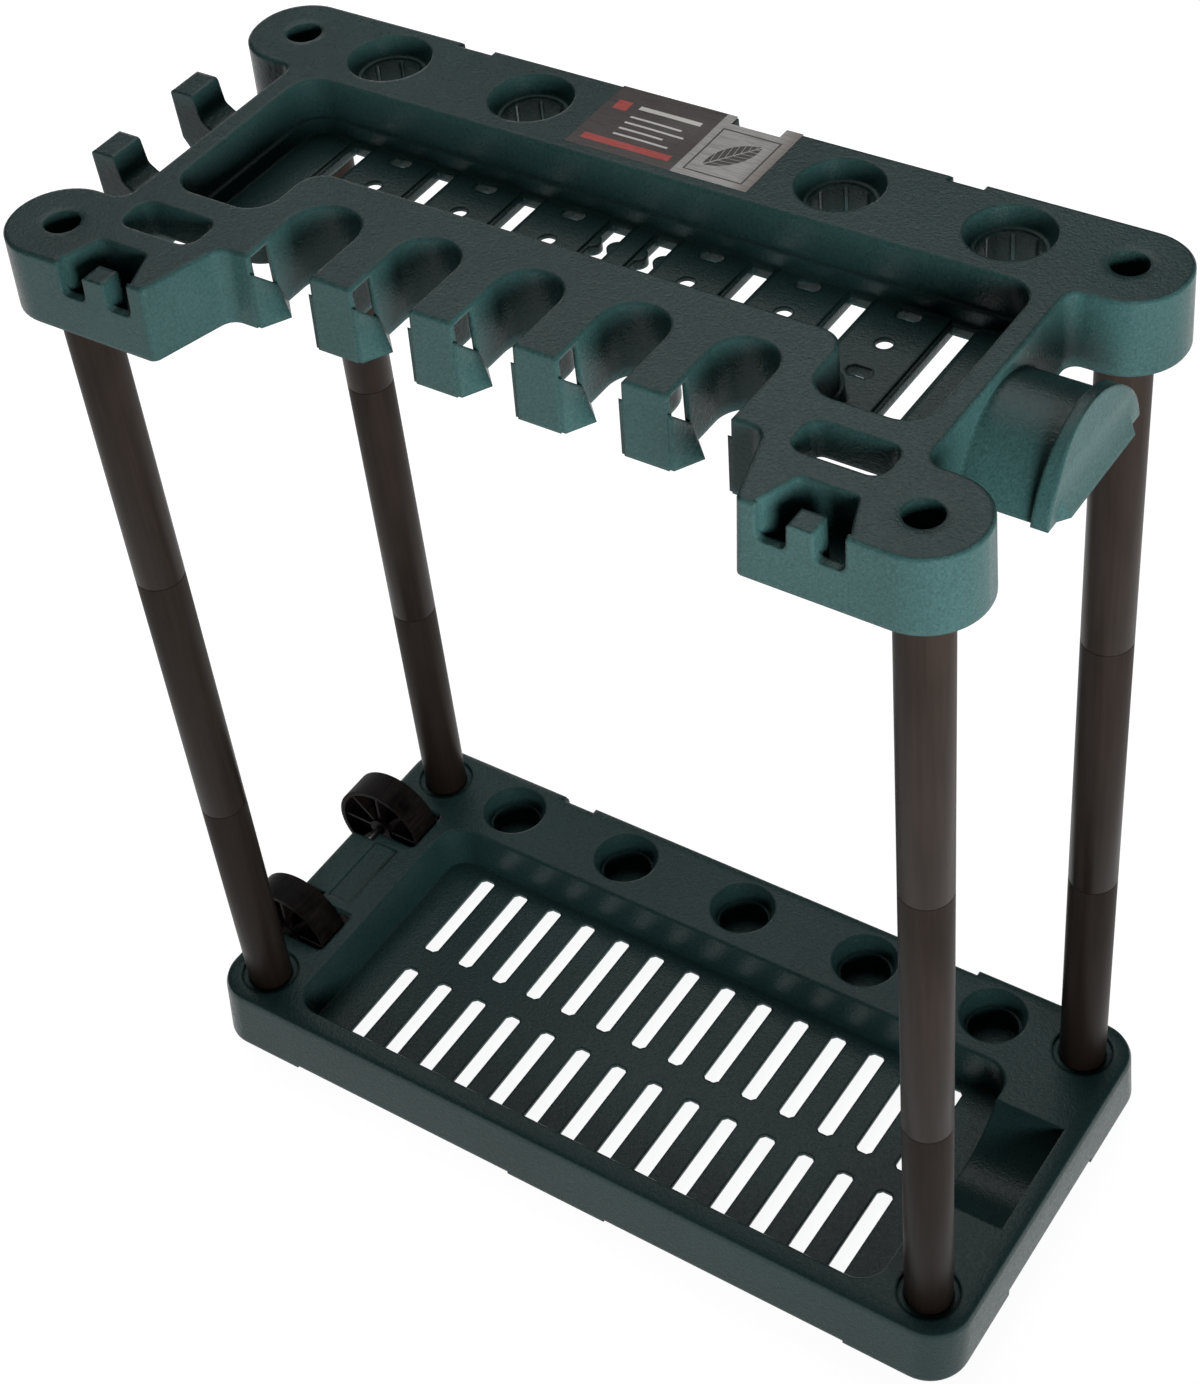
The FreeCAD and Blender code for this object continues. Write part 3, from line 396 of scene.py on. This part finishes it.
@dataclass(frozen=True)
class WheelBlack:
    """Black wheel plastic, a little brown and scuffed on the tread."""

    deep: Colour = (0.0024, 0.0018, 0.0018)
    scuff: Colour = (0.016, 0.012, 0.0115)
    roughness: Range = (0.46, 0.62)
    specular: float = 0.07
    scuffs_per_metre: float = 330.0
    scuff_stretch: Point = (1.0, 0.12, 1.0)
    scuff_range: Range = (0.16, 0.46)
    clouds_per_metre: float = 60.0
    edge_radius: float = 0.0007
    relief_depth: float = 0.00012
    relief_strength: float = 0.45

    def material(self) -> bpy.types.Material:
        """Colour and relief from scuffs drawn out across the tread, over eased edges.

        Returns:
            The plastic of the wheels.
        """
        shader = Shader("wheel_black_plastic")
        scuffs = shader.noise(self.scuffs_per_metre, detail=4.0, rough=0.65,
                              place=shader.stretched(self.scuff_stretch))
        clouds = shader.noise(self.clouds_per_metre, detail=3.0)
        amount = shader.spread(shader.maths("MULTIPLY", scuffs, clouds), self.scuff_range)
        edges = shader.eased_normal(self.edge_radius)
        return shader.finish(
            Base_Color=shader.blend(amount, self.deep, self.scuff),
            Roughness=shader.spread(clouds, NOISE_RANGE, self.roughness),
            Normal=shader.bump(scuffs, self.relief_depth, self.relief_strength, edges),
            Specular_IOR_Level=self.specular,
        )


@dataclass(frozen=True)
class DrawnSteel:
    """Bright drawn steel rod of the axle."""

    bright: Colour = (0.42, 0.42, 0.43)
    dull: Colour = (0.24, 0.23, 0.22)
    roughness: Range = (0.24, 0.42)
    lines_per_metre: float = 900.0
    line_stretch: Point = (1.0, 0.02, 1.0)
    relief_depth: float = 0.00003
    relief_strength: float = 0.3

    def material(self) -> bpy.types.Material:
        """Colour, roughness and relief from lines drawn out along the rod.

        Returns:
            The steel of the axle.
        """
        shader = Shader("drawn_steel")
        lines = shader.noise(self.lines_per_metre, detail=3.0, rough=0.6,
                             place=shader.stretched(self.line_stretch))
        return shader.finish(
            Base_Color=shader.blend(lines, self.dull, self.bright),
            Roughness=shader.spread(lines, NOISE_RANGE, self.roughness),
            Normal=shader.bump(lines, self.relief_depth, self.relief_strength),
            Metallic=1.0,
        )


@dataclass(frozen=True)
class CapBlack:
    """Matt black push-on cap."""

    deep: Colour = (0.008, 0.008, 0.008)
    light: Colour = (0.014, 0.014, 0.014)
    roughness: Range = (0.4, 0.55)
    clouds_per_metre: float = 240.0
    grain_per_metre: float = 2400.0
    edge_radius: float = 0.0006
    relief_depth: float = 0.00004
    relief_strength: float = 0.4

    def material(self) -> bpy.types.Material:
        """Colour from slow clouds, and relief from grain over an eased edge.

        Returns:
            The plastic of the caps.
        """
        shader = Shader("cap_black_plastic")
        clouds = shader.noise(self.clouds_per_metre, detail=3.0)
        grain = shader.noise(self.grain_per_metre)
        edges = shader.eased_normal(self.edge_radius)
        return shader.finish(
            Base_Color=shader.blend(clouds, self.deep, self.light),
            Roughness=shader.spread(clouds, NOISE_RANGE, self.roughness),
            Normal=shader.bump(grain, self.relief_depth, self.relief_strength, edges),
        )


@dataclass(frozen=True)
class PrintedFilm:
    """Generic printed film: a charcoal panel with bars, and a silver panel with a framed leaf.

    The pattern is laid out in millimetres from the film's front left corner.
    """

    charcoal: Colour = (0.040, 0.026, 0.023)
    smoke: Colour = (0.022, 0.014, 0.013)
    red: Colour = (0.42, 0.035, 0.025)
    pale: Colour = (0.62, 0.60, 0.57)
    silver: Colour = (0.44, 0.43, 0.42)
    shade: Colour = (0.25, 0.24, 0.235)
    bronze: Colour = (0.13, 0.095, 0.07)
    ink: Colour = (0.018, 0.015, 0.014)
    split: float = 70.0
    red_bars: tuple[tuple[float, ...], ...] = ((6.0, 64.0, 7.0, 12.5), (6.0, 15.0, 40.0, 49.0))
    pale_bars: tuple[tuple[float, ...], ...] = (
        (21.0, 62.0, 44.5, 48.0), (21.0, 55.0, 35.5, 37.1), (21.0, 60.0, 29.5, 31.1),
        (21.0, 50.0, 23.5, 25.1), (21.0, 57.0, 17.5, 19.1))
    frame: tuple[float, ...] = (75.0, 113.0, 5.0, 49.0)
    frame_line: float = 1.1
    leaf_middle: tuple[float, float] = (94.0, 27.0)
    leaf_half: tuple[float, float] = (18.0, 8.0)
    leaf_turn: float = 0.9
    vein_pitch: float = 4.6
    vein_half: float = 0.3
    midrib_half: float = 0.45
    fade: float = 12.0
    fade_share: float = 0.75
    smoke_per_metre: float = 38.0
    brush_per_metre: float = 900.0
    brush_stretch: Point = (0.06, 1.0, 1.0)
    brush_range: Range = (0.35, 0.65)
    roughness: Range = (0.26, 0.36)
    ripple_per_metre: float = 160.0
    relief_depth: float = 0.00008
    relief_strength: float = 0.3

    def bars(self, shader: Shader, across: bpy.types.NodeSocket, up: bpy.types.NodeSocket,
             boxes: tuple[tuple[float, ...], ...]) -> bpy.types.NodeSocket:
        """Mask of plain bars.

        Args:
            shader: Material under construction.
            across: Distance along the film in millimetres.
            up: Distance across the film in millimetres.
            boxes: Low and high limits along and across, for each bar.

        Returns:
            One inside the bars.
        """
        return shader.any_of([
            shader.maths("MULTIPLY", shader.within(across, left, right), shader.within(up, low, high))
            for left, right, low, high in boxes])

    def leaf(self, shader: Shader, across: bpy.types.NodeSocket,
             up: bpy.types.NodeSocket) -> bpy.types.NodeSocket:
        """Mask of a leaf: the overlap of two circles, less a midrib and slanted veins.

        Args:
            shader: Material under construction.
            across: Distance along the film in millimetres.
            up: Distance across the film in millimetres.

        Returns:
            One on the leaf.
        """
        east = shader.maths("SUBTRACT", across, self.leaf_middle[0])
        north = shader.maths("SUBTRACT", up, self.leaf_middle[1])
        cosine, sine = math.cos(self.leaf_turn), math.sin(self.leaf_turn)
        along = shader.maths("MULTIPLY_ADD", east, cosine, shader.maths("MULTIPLY", north, sine))
        aside = shader.maths("MULTIPLY_ADD", east, -sine, shader.maths("MULTIPLY", north, cosine))
        half, width = self.leaf_half
        radius = (half * half + width * width) / (2.0 * width)
        aside = shader.maths("ABSOLUTE", aside)
        offset = shader.maths("ADD", aside, radius - width)
        span = shader.maths("MULTIPLY_ADD", offset, offset, shader.maths("MULTIPLY", along, along))
        body = shader.maths("LESS_THAN", span, radius * radius)
        slanted = shader.maths("SUBTRACT", along, aside)
        off_vein = shader.maths("PINGPONG", slanted, self.vein_pitch / 2.0)
        veins = shader.maths("LESS_THAN", off_vein, self.vein_half)
        midrib = shader.maths("LESS_THAN", aside, self.midrib_half)
        ribs = shader.maths("MAXIMUM", veins, midrib)
        return shader.maths("MULTIPLY", body, shader.maths("SUBTRACT", 1.0, ribs))

    def material(self, width: float, depth: float) -> bpy.types.Material:
        """Print laid out on the film's own flat map.

        Args:
            width: Length of the film in millimetres.
            depth: Depth of the film in millimetres.

        Returns:
            The printed film.
        """
        shader = Shader("printed_film")
        flat = shader.tree.nodes.new("ShaderNodeUVMap")
        flat.uv_map = "print"
        parts = shader.tree.nodes.new("ShaderNodeSeparateXYZ")
        shader.join(flat.outputs["UV"], parts.inputs[0])
        across = shader.maths("MULTIPLY", parts.outputs["X"], width)
        up = shader.maths("MULTIPLY", parts.outputs["Y"], depth)
        smoke = shader.noise(self.smoke_per_metre, detail=3.0)
        left = shader.blend(smoke, self.charcoal, self.smoke)
        left = shader.blend(self.bars(shader, across, up, self.red_bars), left, self.red)
        left = shader.blend(self.bars(shader, across, up, self.pale_bars), left, self.pale)
        strokes = shader.noise(self.brush_per_metre, detail=3.0, rough=0.6,
                               place=shader.stretched(self.brush_stretch))
        brushed = shader.spread(strokes, self.brush_range)
        right = shader.blend(brushed, self.silver, self.shade)
        faded = shader.spread(across, (width - self.fade, width), (0.0, self.fade_share))
        right = shader.blend(faded, right, self.bronze)
        west, east, south, north = self.frame
        line = self.frame_line
        outer = self.bars(shader, across, up, (self.frame,))
        inner = self.bars(shader, across, up, ((west + line, east - line, south + line, north - line),))
        border = shader.maths("SUBTRACT", outer, inner)
        drawn = shader.maths("MAXIMUM", border, self.leaf(shader, across, up))
        right = shader.blend(drawn, right, self.ink)
        side = shader.maths("GREATER_THAN", across, self.split)
        ripple = shader.noise(self.ripple_per_metre)
        return shader.finish(
            Base_Color=shader.blend(side, left, right),
            Roughness=shader.spread(brushed, (0.0, 1.0), self.roughness),
            Normal=shader.bump(ripple, self.relief_depth, self.relief_strength),
        )


def middle() -> float:
    """X of the plane half way between the poles."""
    left, right = (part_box(f"pole_front_{side}_lower") for side in ("left", "right"))
    return float(left[0].x + left[1].x + right[0].x + right[1].x) / 4.0


def turned_profile(profile: np.ndarray, centre: tuple[float, float],
                   segments: int) -> tuple[np.ndarray, np.ndarray]:
    """Surface of revolution of a closed profile about an upright axis.

    Point (i, j) is the profile's point i at radius r and height z, carried to the angle a of column j:
    x = centre x + r cos a, y = centre y + r sin a. Rows and columns both wrap round.

    Args:
        profile: Array of (radius, height) rows, anticlockwise in the (radius, height) plane.
        centre: Axis position.
        segments: Columns round the axis.

    Returns:
        Vertices (n, 3) and quads (m, 4) with outward faces.
    """
    angle = np.linspace(0.0, 2.0 * math.pi, segments, endpoint=False)
    radius, height = profile[:, 0, None], profile[:, 1, None]
    x = centre[0] + radius * np.cos(angle)
    y = centre[1] + radius * np.sin(angle)
    z = np.broadcast_to(height, x.shape)
    vertices = np.stack([x, y, z], axis=-1).reshape(-1, 3)
    i, j = np.meshgrid(np.arange(len(profile)), np.arange(segments), indexing="ij")
    following, beside = (i + 1) % len(profile), (j + 1) % segments
    quads = np.stack([i * segments + j, i * segments + beside, following * segments + beside,
                      following * segments + j], axis=-1).reshape(-1, 4)
    return vertices, quads


def new_piece(name: str, vertices: np.ndarray, faces: np.ndarray, material: bpy.types.Material,
              body: str, sharp: float = 35.0) -> bpy.types.Object:
    """Object at the origin from arrays, smoothly shaded between its sharp edges.

    Args:
        name: Name of the object and its mesh.
        vertices: Array of (x, y, z) rows in metres.
        faces: Array of vertex indices, one row for each face.
        material: Finish of the piece.
        body: Body that the piece rides on.
        sharp: Angle in degrees over which an edge stays sharp.

    Returns:
        The object.
    """
    mesh = bpy.data.meshes.new(name)
    mesh.from_pydata(vertices.tolist(), [], faces.tolist())
    mesh.polygons.foreach_set("use_smooth", np.ones(len(mesh.polygons), dtype=bool))
    mesh.set_sharp_from_angle(angle=math.radians(sharp))
    mesh.materials.append(material)
    mesh.update()
    piece = bpy.data.objects.new(name, mesh)
    bpy.context.scene.collection.objects.link(piece)
    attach(piece, body)
    return piece


def report(piece: bpy.types.Object) -> None:
    """Log a piece with its number of faces."""
    log.info("%s: %d faces", piece.name, len(piece.data.polygons))


@dataclass
class Moulding:
    """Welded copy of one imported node, with smooth shading and flat faces kept flat."""

    node: str
    body: str
    slot: Slot
    grid: float = 1.0e-6
    sharp: float = 35.0

    def welded(self) -> tuple[np.ndarray, np.ndarray]:
        """Vertices of the node's loose triangles, merged where they round to the same grid point.

        Returns:
            Vertices (n, 3) and triangles (m, 3), without triangles that lose a corner.
        """
        mesh = frame["nodes"][self.node].data
        points = np.empty(len(mesh.vertices) * 3)
        mesh.vertices.foreach_get("co", points)
        points = points.reshape(-1, 3)
        mesh.calc_loop_triangles()
        corners = np.empty(len(mesh.loop_triangles) * 3, dtype=np.int64)
        mesh.loop_triangles.foreach_get("vertices", corners)
        keys = np.round(points / self.grid).astype(np.int64)
        _, first, group = np.unique(keys, axis=0, return_index=True, return_inverse=True)
        triangles = group.reshape(-1)[corners].reshape(-1, 3)
        whole = ((triangles[:, 0] != triangles[:, 1]) & (triangles[:, 1] != triangles[:, 2])
                 & (triangles[:, 2] != triangles[:, 0]))
        return points[first], triangles[whole]

    def build(self, material: bpy.types.Material) -> bpy.types.Object:
        """Make the copy and let it stand for the node.

        Args:
            material: Finish of the moulding.

        Returns:
            The object.
        """
        vertices, triangles = self.welded()
        piece = new_piece(self.node + "_moulding", vertices, triangles, material, self.body,
                          self.sharp)
        even = piece.modifiers.new("flat_faces", "WEIGHTED_NORMAL")
        even.mode = "FACE_AREA"
        even.keep_sharp = True
        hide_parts(self.node)
        report(piece)
        return piece


@dataclass
class Trays:
    """Top tray and base tray."""

    nodes: tuple[str, ...] = ("base_tray", "top_tray")
    finish: MouldedGreen = field(default_factory=MouldedGreen)

    def build(self) -> list[bpy.types.Object]:
        """Build both trays in one plastic.

        Returns:
            The two objects.
        """
        material = self.finish.material()
        return [Moulding(node, "rack", Slot.TRAY).build(material) for node in self.nodes]


@dataclass
class Label:
    """Thin film on the top tray, which spans one handle hole and follows the step in the back edge.

    X is measured from the plane half way between the poles.
    """

    left: float = -0.0595
    right: float = 0.0592
    front: float = 0.0792
    back: float = 0.1415
    step: tuple[float, float] = (0.0170, 0.0485)
    step_back: float = 0.1335
    step_half_slope: float = 1.0e-5
    proud: float = 0.00008
    sunk: float = 0.00006
    hole: tuple[float, float, float] = (0.0, 0.108, 0.0253)
    sag: float = 0.00035
    columns: int = 96
    rows: int = 48
    finish: PrintedFilm = field(default_factory=PrintedFilm)

    def build(self) -> bpy.types.Object:
        """Closed grid of two layers.

        Column i stands at x from left to right, and row j at y from front to the back edge, which lies
        further forward between the two step places. Both layers dip over the hole by sag times
        (1 - r squared / R squared) squared.

        Returns:
            The object.
        """
        slope = np.tile((-self.step_half_slope, self.step_half_slope), 2)
        x = np.sort(np.concatenate([np.linspace(self.left, self.right, self.columns),
                                    np.repeat(self.step, 2) + slope]))
        back = np.where((x > self.step[0]) & (x < self.step[1]), self.step_back, self.back)
        share = np.linspace(0.0, 1.0, self.rows)
        y = self.front + share[None, :] * (back[:, None] - self.front)
        x = np.broadcast_to(x[:, None], y.shape)
        centre_x, centre_y, radius = self.hole
        inside = np.clip(1.0 - ((x - centre_x) ** 2 + (y - centre_y) ** 2) / radius ** 2, 0.0, 1.0)
        top = float(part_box("top_tray")[1].z)
        dip = self.sag * inside ** 2
        layers = [np.stack([x + middle(), y, top + lift - dip], axis=-1)
                  for lift in (self.proud, -self.sunk)]
        vertices = np.concatenate([layer.reshape(-1, 3) for layer in layers])
        index = np.arange(x.size).reshape(x.shape)
        a, b, c, d = index[:-1, :-1], index[1:, :-1], index[1:, 1:], index[:-1, 1:]
        upper = np.stack([a, b, c, d], axis=-1).reshape(-1, 4)
        lower = upper[:, ::-1] + x.size
        rim = np.concatenate([index[:, 0], index[-1, 1:], index[-2::-1, -1], index[0, -2:0:-1]])
        after = np.roll(rim, -1)
        wall = np.stack([rim, rim + x.size, after + x.size, after], axis=-1)
        width, depth = self.right - self.left, self.back - self.front
        material = self.finish.material(width * MILLIMETRES_PER_METRE, depth * MILLIMETRES_PER_METRE)
        faces = np.concatenate([upper, lower, wall])
        piece = new_piece("top_label", vertices, faces, material, "rack")
        self.lay_print(piece.data, vertices)
        report(piece)
        return piece

    def lay_print(self, mesh: bpy.types.Mesh, vertices: np.ndarray) -> None:
        """Give the film its flat map, which runs from 0 to 1 along it and across it.

        Args:
            mesh: Mesh of the film.
            vertices: Array of (x, y, z) rows that the mesh was made from.
        """
        flat = mesh.uv_layers.new(name="print")
        corners = np.empty(len(mesh.loops), dtype=np.int64)
        mesh.loops.foreach_get("vertex_index", corners)
        spot = vertices[corners]
        u = (spot[:, 0] - middle() - self.left) / (self.right - self.left)
        v = (spot[:, 1] - self.front) / (self.back - self.front)
        flat.data.foreach_set("uv", np.stack([u, v], axis=-1).ravel())


def close_axis(piece: bpy.types.Object, reach: float = 1.0e-6) -> None:
    """Merge the points of a turned piece that meet on its axis.

    Args:
        piece: Object whose mesh may have rings of no radius.
        reach: Distance within which points are one.
    """
    work = bmesh.new()
    work.from_mesh(piece.data)
    bmesh.ops.remove_doubles(work, verts=work.verts, dist=reach)
    work.to_mesh(piece.data)
    work.free()


@dataclass
class Poles:
    """Twelve tubes, three to a pole, each with eased ends so that the joints show as fine grooves."""

    wall: float = 0.0014
    spigot_gap: float = 0.00015
    spigot_land: float = 0.006
    ease: float = 0.0007
    ease_corner: float = 0.3
    segments: int = 80
    sharp: float = 30.0
    finish: TubeBrown = field(default_factory=TubeBrown)

    def profile(self, radius: float, low: float, step: float, high: float) -> np.ndarray:
        """Half section of a tube, anticlockwise from the inside of its foot.

        The outer wall runs from low to step. Above step a spigot of the tube's inner radius stands up
        to high, and where high equals step the tube is plain and open.

        Args:
            radius: Outer radius.
            low: Height of the foot.
            step: Height of the shoulder.
            high: Height of the spigot's top.

        Returns:
            Array of (radius, height) rows.
        """
        inner = radius - self.wall
        ease = self.ease
        nick = ease * self.ease_corner
        outside = [(inner, low), (radius - ease, low), (radius - nick, low + nick), (radius, low + ease),
                   (radius, step - ease), (radius - nick, step - nick), (radius - ease, step)]
        if high <= step:
            return np.array(outside + [(inner, step)])
        neck = inner - self.spigot_gap
        roof = step - self.spigot_land
        return np.array(outside + [(neck, step), (neck, high - ease), (neck - ease, high), (0.0, high),
                                   (0.0, roof), (inner, roof)])

    def tube(self, corner: Corner, level: Level, material: bpy.types.Material) -> bpy.types.Object:
        """One tube, turned about the middle of its node's box.

        Args:
            corner: Corner of the rack.
            level: Place in the pole.
            material: Finish of the tube.

        Returns:
            The object.
        """
        node = f"pole_{corner.value}_{level.value}"
        low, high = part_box(node)
        step = high.z
        if level is not Level.UPPER:
            above = Level.MIDDLE if level is Level.LOWER else Level.UPPER
            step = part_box(f"pole_{corner.value}_{above.value}")[0].z
        profile = self.profile((high.x - low.x) / 2.0, low.z, step, high.z)
        centre = ((low.x + high.x) / 2.0, (low.y + high.y) / 2.0)
        vertices, quads = turned_profile(profile, centre, self.segments)
        piece = new_piece(node + "_tube", vertices, quads, material, "rack", self.sharp)
        close_axis(piece)
        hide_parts(node)
        report(piece)
        return piece

    def build(self) -> list[bpy.types.Object]:
        """Build all the tubes.

        Returns:
            The twelve objects.
        """
        material = self.finish.material()
        return [self.tube(corner, level, material) for corner in Corner for level in Level]


@dataclass
class WheelSet:
    """Two spoked wheels on a steel axle with a cap at each end."""

    wheel_finish: WheelBlack = field(default_factory=WheelBlack)
    axle_finish: DrawnSteel = field(default_factory=DrawnSteel)
    cap_finish: CapBlack = field(default_factory=CapBlack)

    def build(self) -> list[bpy.types.Object]:
        """Build the wheels, the axle and the caps.

        Returns:
            The five objects.
        """
        finishes = (self.wheel_finish, self.axle_finish, self.cap_finish)
        wheel, axle, cap = (finish.material() for finish in finishes)
        pieces = [Moulding("axle", "rack", Slot.AXLE).build(axle)]
        for side in ("front", "back"):
            pieces.append(Moulding("wheel_" + side, side + "_wheel", Slot.WHEEL).build(wheel))
            pieces.append(Moulding("axle_cap_" + side, "rack", Slot.CAP).build(cap))
        return pieces


@dataclass(frozen=True)
class Lamp:
    """Square soft light, with its power in watts and the angle of its beam in degrees.

    Where it isn't mirrored, it lights glossy surfaces but isn't reflected in them.
    """

    name: str
    place: Point
    aim: Point
    size: float
    power: float
    beam: float = 180.0
    mirrored: bool = True

    def build(self) -> None:
        """Add the light, turned from its place to its aim."""
        data = bpy.data.lights.new(self.name, "AREA")
        data.shape = "SQUARE"
        data.size = self.size
        data.energy = self.power
        data.spread = math.radians(self.beam)
        light = bpy.data.objects.new(self.name, data)
        light.location = self.place
        line = Vector(self.aim) - Vector(self.place)
        light.rotation_euler = line.to_track_quat("-Z", "Y").to_euler()
        light.visible_glossy = self.mirrored
        bpy.context.scene.collection.objects.link(light)


@dataclass
class Studio:
    """Pale floor, soft light and the camera."""

    floor_half: float = 6.0
    floor_points: int = 9
    floor_tones: tuple[Colour, Colour] = ((0.30, 0.30, 0.30), (0.32, 0.32, 0.32))
    floor_clouds_per_metre: float = 3.0
    floor_glow: float = 0.925
    world_strength: float = 0.05
    lamps: tuple[Lamp, ...] = (
        Lamp("side_softbox", (1.25, -0.85, 0.78), (0.15, 0.0, 0.8), 0.75, 9.9, beam=60.0, mirrored=False),
        Lamp("back_panel", (-0.65, 0.85, 2.4), (0.0, 0.0, 0.7), 1.7, 20.0),
        Lamp("rear_fill", (-1.7, 1.6, 0.45), (0.0, 0.0, 0.35), 1.2, 9.0),
    )
    focal_pixels: float = 2628.47
    picture_height: float = 1384.0
    sensor_height: float = 36.0
    azimuth: float = 38.4407
    elevation: float = 44.0979
    roll: float = -7.2363
    position: Point = (0.71663, -0.92912, 1.50022)

    def floor(self) -> bpy.types.Object:
        """Flat square grid under the rack at z = 0, in a pale, faintly clouded and glowing finish.

        Returns:
            The floor.
        """
        points = self.floor_points
        axis = np.linspace(-self.floor_half, self.floor_half, points)
        x, y = np.meshgrid(axis, axis, indexing="ij")
        vertices = np.stack([x, y, np.zeros_like(x)], axis=-1).reshape(-1, 3)
        i, j = np.meshgrid(np.arange(points - 1), np.arange(points - 1), indexing="ij")
        corner = i * points + j
        quads = np.stack([corner, corner + points, corner + points + 1, corner + 1], axis=-1)
        mesh = bpy.data.meshes.new("studio_floor")
        mesh.from_pydata(vertices.tolist(), [], quads.reshape(-1, 4).tolist())
        shader = Shader("studio_floor_paper")
        mesh.materials.append(shader.finish(
            Base_Color=shader.blend(shader.noise(self.floor_clouds_per_metre), *self.floor_tones),
            Roughness=0.95,
            Specular_IOR_Level=0.1,
            Emission_Color=(1.0, 1.0, 1.0),
            Emission_Strength=self.floor_glow,
        ))
        sheet = bpy.data.objects.new("studio_floor", mesh)
        bpy.context.scene.collection.objects.link(sheet)
        return sheet

    def world(self) -> None:
        """Even white surroundings, faint beside the lamps."""
        world = bpy.data.worlds.new("studio_world")
        world.use_nodes = True
        background = next(n for n in world.node_tree.nodes if n.type == "BACKGROUND")
        background.inputs["Color"].default_value = (1.0, 1.0, 1.0, 1.0)
        background.inputs["Strength"].default_value = self.world_strength
        bpy.context.scene.world = world

    def camera(self) -> None:
        """Camera at the photograph's angle, from its fitted place and its turn about the view line."""
        turn, lift, roll = (math.radians(v) for v in (self.azimuth, self.elevation, self.roll))
        forward = -Vector((math.sin(turn) * math.cos(lift), -math.cos(turn) * math.cos(lift),
                           math.sin(lift)))
        level = forward.cross(Vector((0.0, 0.0, 1.0))).normalized()
        upright = level.cross(forward)
        right = level * math.cos(roll) + upright * math.sin(roll)
        top = upright * math.cos(roll) - level * math.sin(roll)
        data = bpy.data.cameras.new("photo_camera")
        data.sensor_fit = "VERTICAL"
        data.sensor_height = self.sensor_height
        data.lens = self.focal_pixels / self.picture_height * self.sensor_height
        view = bpy.data.objects.new("photo_camera", data)
        place = Vector(self.position) + Vector((middle(), 0.0, 0.0))
        view.matrix_world = Matrix.Translation(place) @ Matrix((right, top, -forward)).transposed().to_4x4()
        bpy.context.scene.collection.objects.link(view)
        bpy.context.scene.camera = view

    def build(self) -> None:
        """Set up the floor, the surroundings, the lights and the camera."""
        self.floor()
        self.world()
        for lamp in self.lamps:
            lamp.build()
        self.camera()
        bpy.context.scene.view_settings.view_transform = "Standard"


def main() -> None:
    """Build the rack and its studio, logging each piece's number of faces."""
    logging.basicConfig(level=logging.INFO, format="%(name)s %(message)s")
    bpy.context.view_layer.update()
    for part in (Trays(), Label(), Poles(), WheelSet()):
        part.build()
    Studio().build()
    bpy.context.view_layer.update()


if __name__ == "__main__":
    main()
